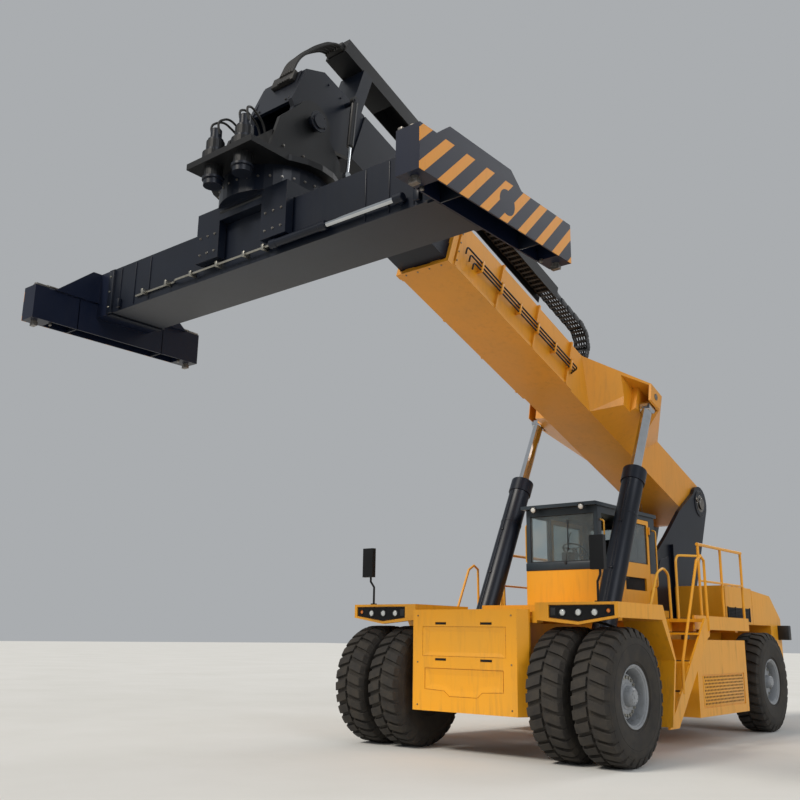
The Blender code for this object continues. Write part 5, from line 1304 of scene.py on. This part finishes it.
# %% Tower plates
bm, bolts = bmesh.new(), bmesh.new()
CHEEK = 0.497
pivot_y, pivot_z = PIVOT.y - AXLE_Y, PIVOT.z
for side in (1, -1):
    disc(bm, (side * (CHEEK + 0.006), pivot_y, pivot_z), (1, 0, 0), 0.25, 0.016, 56, 0.3)
    outline_plate(bm, [(4.30, 1.83), (4.34, 2.56), (4.50, 2.80), (4.86, 2.90), (4.86, 1.83)],
                  side * (CHEEK - 0.001),
                  side * (CHEEK + 0.009))
    for i in range(9):
        bolt(bolts, (side * 0.530, 4.24 + 0.18 * i, 1.803), (0, 0, 1), 0.011)
    for i in range(10):
        t = 2 * pi * i / 10
        bolt(bolts, (side * (CHEEK + 0.014), pivot_y + 0.215 * cos(t), pivot_z + 0.215 * sin(t)),
             (side, 0, 0), 0.009)
make_piece("tower_doublers", bm, navy_paint, "chassis", bevel=0.003)
make_piece("tower_bolts", bolts, bare_steel, "chassis")
bm = bmesh.new()
for side in (1, -1):
    for k in range(3):
        x = side * (0.40 - 0.045 * k)
        pipe(bm, [(x, 4.62 + 0.03 * k, 1.80), (x, 4.66 + 0.03 * k, 2.60), (x, 5.30, 3.26 + 0.02 * k),
                  (x, 5.95, 3.42)],
             0.014, 0.25, 10)
make_piece("tower_hoses", bm, hose_rubber, "chassis")

# %% [markdown]
# ## Head frame
# The slewing ring is bolted round its rim. Two hydraulic motors drive it through small gearboxes. Hoses
# and a valve bank sit on the head.

# %% Head frame details
SLEW_Y, RING_Z = -4.244, 6.34
bm = bmesh.new()
for i in range(36):
    t = 2 * pi * i / 36
    bolt(bm, (0.69 * cos(t), SLEW_Y + 0.69 * sin(t), RING_Z + 0.071), (0, 0, 1), 0.013)
head_pos = Vector(joints["head_level"]["pos_m"])
hy, hz = head_pos.y - AXLE_Y, head_pos.z
for side in (1, -1):
    for i in range(3):
        bolt(bm, (side * 0.433, -4.55 + 0.30 * i, 6.62), (side, 0, 0), 0.013)
make_piece("ring_bolts", bm, bare_steel, "head")
bm = bmesh.new()
for x in (-0.14, 0.33):
    lathe(bm, [(0, 0.30), (0.05, 0.30), (0.062, 0.285), (0.062, 0.18), (0.085, 0.17), (0.085, 0.05),
               (0.101, 0.045),
               (0.101, 0.0), (0, 0)], 32, Matrix.Translation((x, -5.02, 6.50)) @ towards((0, 0, 1)))
    lathe(bm, [(0, 0), (0.103, 0), (0.103, 0.06), (0.12, 0.065), (0.12, 0.09), (0, 0.09)], 32,
          Matrix.Translation((x, -5.02, 6.12)) @ towards((0, 0, 1)))
    for i in range(8):
        t = 2 * pi * i / 8
        bolt(bm, (x + 0.118 * cos(t), -5.02 + 0.118 * sin(t), 6.502), (0, 0, 1), 0.009)
make_piece("slew_motors", bm, navy_paint, "head")
bm = bmesh.new()
for k, x in enumerate((-0.20, -0.08, 0.27, 0.39)):
    pipe(bm, [(x, -5.02, 6.72), (x, -5.06, 6.86), (x * 0.8, -4.92, 6.96), (x * 0.7, -4.70, 6.86),
              (x * 0.6, -4.62, 6.60),
              (x * 0.6, -4.50, 6.44)], 0.013, 0.10, 10)
for k in range(4):
    x = -0.26 + 0.05 * k
    pipe(bm, [(x, -3.80, 6.42), (x, -3.72, 6.62), (x - 0.02, -3.86, 6.82), (x - 0.03, -4.05, 6.72),
              (x - 0.03, -4.2, 6.43)],
         0.014, 0.12, 10)
make_piece("head_hoses", bm, hose_rubber, "head")
bm = bmesh.new()
block(bm, (-0.33, -4.30, 6.412), (0.02, -4.02, 6.52), 0.012)
block(bm, (0.08, -4.34, 6.412), (0.30, -4.00, 6.56), 0.012)
make_piece("head_valve_bank", bm, oily_casting, "head")

# %% [markdown]
# ## Spreader
# The main beam is a welded box with a navy coat. Pipes and a cylinder run along its front. Each end
# beam has a cover over its twistlock gear, a sensor foot beside the lock, and hinge plates for the
# lifting gear below.

# %% Slewing frame details
bm = bmesh.new()
for i in range(30):
    t = 2 * pi * i / 30
    place = Vector((0.60 * cos(t), SLEW_Y + 0.60 * sin(t), 6.02))
    bolt(bm, (0.621 * cos(t), SLEW_Y + 0.621 * sin(t), 6.20), (cos(t), sin(t), 0), 0.012)
for sx in (-0.53, 0.53):
    for sy in (-1, 1):
        y = SLEW_Y + sy * 0.492
        for dx in (-0.12, 0.0, 0.12):
            for z in (5.55, 5.75):
                bolt(bm, (sx + dx, y, z), (0, sy, 0), 0.012)
make_piece("slewing_frame_bolts", bm, bare_steel, "slewing_frame")
bm = bmesh.new()
bar(bm, (-0.34, SLEW_Y - 0.47, 5.98), (0.34, SLEW_Y - 0.47, 5.98), 0.03, 20)
make_piece("slewing_frame_pipe", bm, black_paint, "slewing_frame")

# %% Beam details
FRONT_FACE = SLEW_Y - 0.38
bm, steel, hoses, chrome = bmesh.new(), bmesh.new(), bmesh.new(), bmesh.new()
for side in (1, -1):
    for k in range(3):
        x = side * (1.72 + 0.30 * k)
        block(bm, (x - 0.006, FRONT_FACE - 0.010, 5.32), (x + 0.006, FRONT_FACE + 0.004, 5.86), 0.003)
        block(bm, (x - 0.006, SLEW_Y + 0.376, 5.32), (x + 0.006, SLEW_Y + 0.390, 5.86), 0.003)
    block(bm, (side * 2.46, SLEW_Y - 0.41, 5.30), (side * 2.555, SLEW_Y + 0.41, 5.87), 0.006)
    for z in (5.38, 5.58, 5.78):
        for y in (SLEW_Y - 0.412, SLEW_Y + 0.412):
            bolt(steel, (side * 2.51, y, z), (0, 1 if y > SLEW_Y else -1, 0), 0.011)
FRONT_LANE, LANE_Z = FRONT_FACE - 0.058, 5.40
pipe(steel, [(-1.95, FRONT_FACE - 0.02, LANE_Z), (-1.20, FRONT_FACE - 0.02, LANE_Z),
             (-1.15, FRONT_LANE, LANE_Z),
             (0.45, FRONT_LANE, LANE_Z)], 0.012, 0.05)
for x in (-1.75, -1.30, -0.85, -0.40, 0.05, 0.35):
    block(steel, (x - 0.018, FRONT_LANE - 0.026, LANE_Z - 0.030),
          (x + 0.018, FRONT_FACE + 0.002, LANE_Z + 0.030), 0.004)
bar(chrome, (1.20, FRONT_LANE, LANE_Z), (2.16, FRONT_LANE, LANE_Z), 0.030, 32)
for x0, x1, radius in ((0.52, 1.24, 0.044), (1.17, 1.26, 0.050), (0.46, 0.56, 0.050), (2.13, 2.24, 0.046)):
    bar(bm, (x0, FRONT_LANE, LANE_Z), (x1, FRONT_LANE, LANE_Z), radius, 32)
for x in (0.50, 2.19):
    block(bm, (x - 0.022, FRONT_LANE - 0.02, LANE_Z - 0.045), (x + 0.022, FRONT_FACE + 0.002, LANE_Z + 0.045),
          0.005)
for x in (-2.3, 2.38):
    block(bm, (x - 0.03, FRONT_FACE - 0.05, 5.33), (x + 0.03, FRONT_FACE + 0.002, 5.44), 0.006)
for side in (1, -1):
    pipe(hoses, [(side * 1.60, SLEW_Y + 0.10, 5.89), (side * 1.68, SLEW_Y + 0.12, 5.90),
                 (side * 1.9, SLEW_Y + 0.06, 5.895),
                 (side * 2.35, SLEW_Y + 0.10, 5.895)], 0.014, 0.15, 10)
    pipe(hoses, [(side * 1.60, SLEW_Y + 0.16, 5.89), (side * 1.70, SLEW_Y + 0.18, 5.90),
                 (side * 2.0, SLEW_Y + 0.14, 5.895),
                 (side * 2.38, SLEW_Y + 0.16, 5.895)], 0.014, 0.15, 10)
make_piece("beam_stiffeners", bm, navy_paint, "spreader")
make_piece("beam_pipes", steel, zinc_pipe, "spreader")
make_piece("side_shift_rod", chrome, chrome_rod, "spreader")
make_piece("beam_hoses", hoses, hose_rubber, "spreader")

# %% End beam details
LOCK_Y, END_TOP, END_BOTTOM = 1.1295, 5.50, 5.085
for side, label in SIDES:
    bm, steel = bmesh.new(), bmesh.new()
    for end in (1, -1):
        y = SLEW_Y + end * LOCK_Y
        block(steel, (side * 2.81, y - 0.09, END_TOP), (side * 2.86, y + 0.09, END_TOP + 0.03), 0.006)
        bar(steel, (side * 2.835, y - end * 0.06, END_TOP + 0.03),
            (side * 2.835, y - end * 0.40, END_TOP + 0.03), 0.014, 16)
        for z in (5.13, 5.45):
            bolt(steel, (side * 3.040, y, z), (side, 0, 0), 0.010)
        block(bm, (side * 2.80, SLEW_Y + end * 0.62, END_BOTTOM + 0.0),
              (side * 3.049, SLEW_Y + end * 0.635, END_TOP), 0.002)
        block(steel, (side * 2.85, y - end * 0.16, END_BOTTOM - 0.03),
              (side * 2.88, y - end * 0.19, END_BOTTOM + 0.01), 0.004)
    make_piece(f"end_beam_covers_{label}", bm, navy_paint, f"spreader_{label}")
    make_piece(f"end_beam_gear_{label}", steel, bare_steel, f"spreader_{label}")

# %% [markdown]
# ## Floor, light and sky
# A plain pale floor, an even sky and three soft lamps show the paint without hard shadows. The
# display transform is the plain one, so a paint card's colour comes out as itself.

# %% Studio
floor_mesh = bmesh.new()
bmesh.ops.create_grid(floor_mesh, x_segments=1, y_segments=1, size=120)
floor_data = bpy.data.meshes.new("studio_floor")
floor_mesh.to_mesh(floor_data)
floor_mesh.free()
floor = bpy.data.objects.new("studio_floor", floor_data)
bpy.context.scene.collection.objects.link(floor)
concrete = plain_finish("pale_concrete", "#D2D1CD", "#CCCBC6", 0.9, size_mm=2500, bump_mm=0.05, grain_mm=60)
floor_data.materials.append(concrete)

world = bpy.data.worlds.new("overcast")
bpy.context.scene.world = world
world.use_nodes = True
sky = world.node_tree.nodes["Background"]
sky.inputs["Color"].default_value = linear("#EEF2F6")
sky.inputs["Strength"].default_value = 0.47
bpy.context.scene.view_settings.view_transform = "Standard"


def soft_light(name, place, power, angle, colour):
    """A distant lamp with a soft edge. It shines from a place towards the machine."""
    data = bpy.data.lights.new(name, "SUN")
    data.energy = power
    data.angle = radians(angle)
    data.color = linear(colour)[:3]
    light = bpy.data.objects.new(name, data)
    bpy.context.scene.collection.objects.link(light)
    light.rotation_euler = (-Vector(place)).to_track_quat("-Z", "Y").to_euler()


soft_light("key_light", (-3, -12, 11), 2.4, 14, "#FFF8EE")
soft_light("side_light", (12, -5, 6), 0.75, 25, "#F2F6FF")
soft_light("rear_light", (3, 12, 9), 0.5, 25, "#FFFFFF")
print("lights:", [light.name for light in bpy.data.lights])
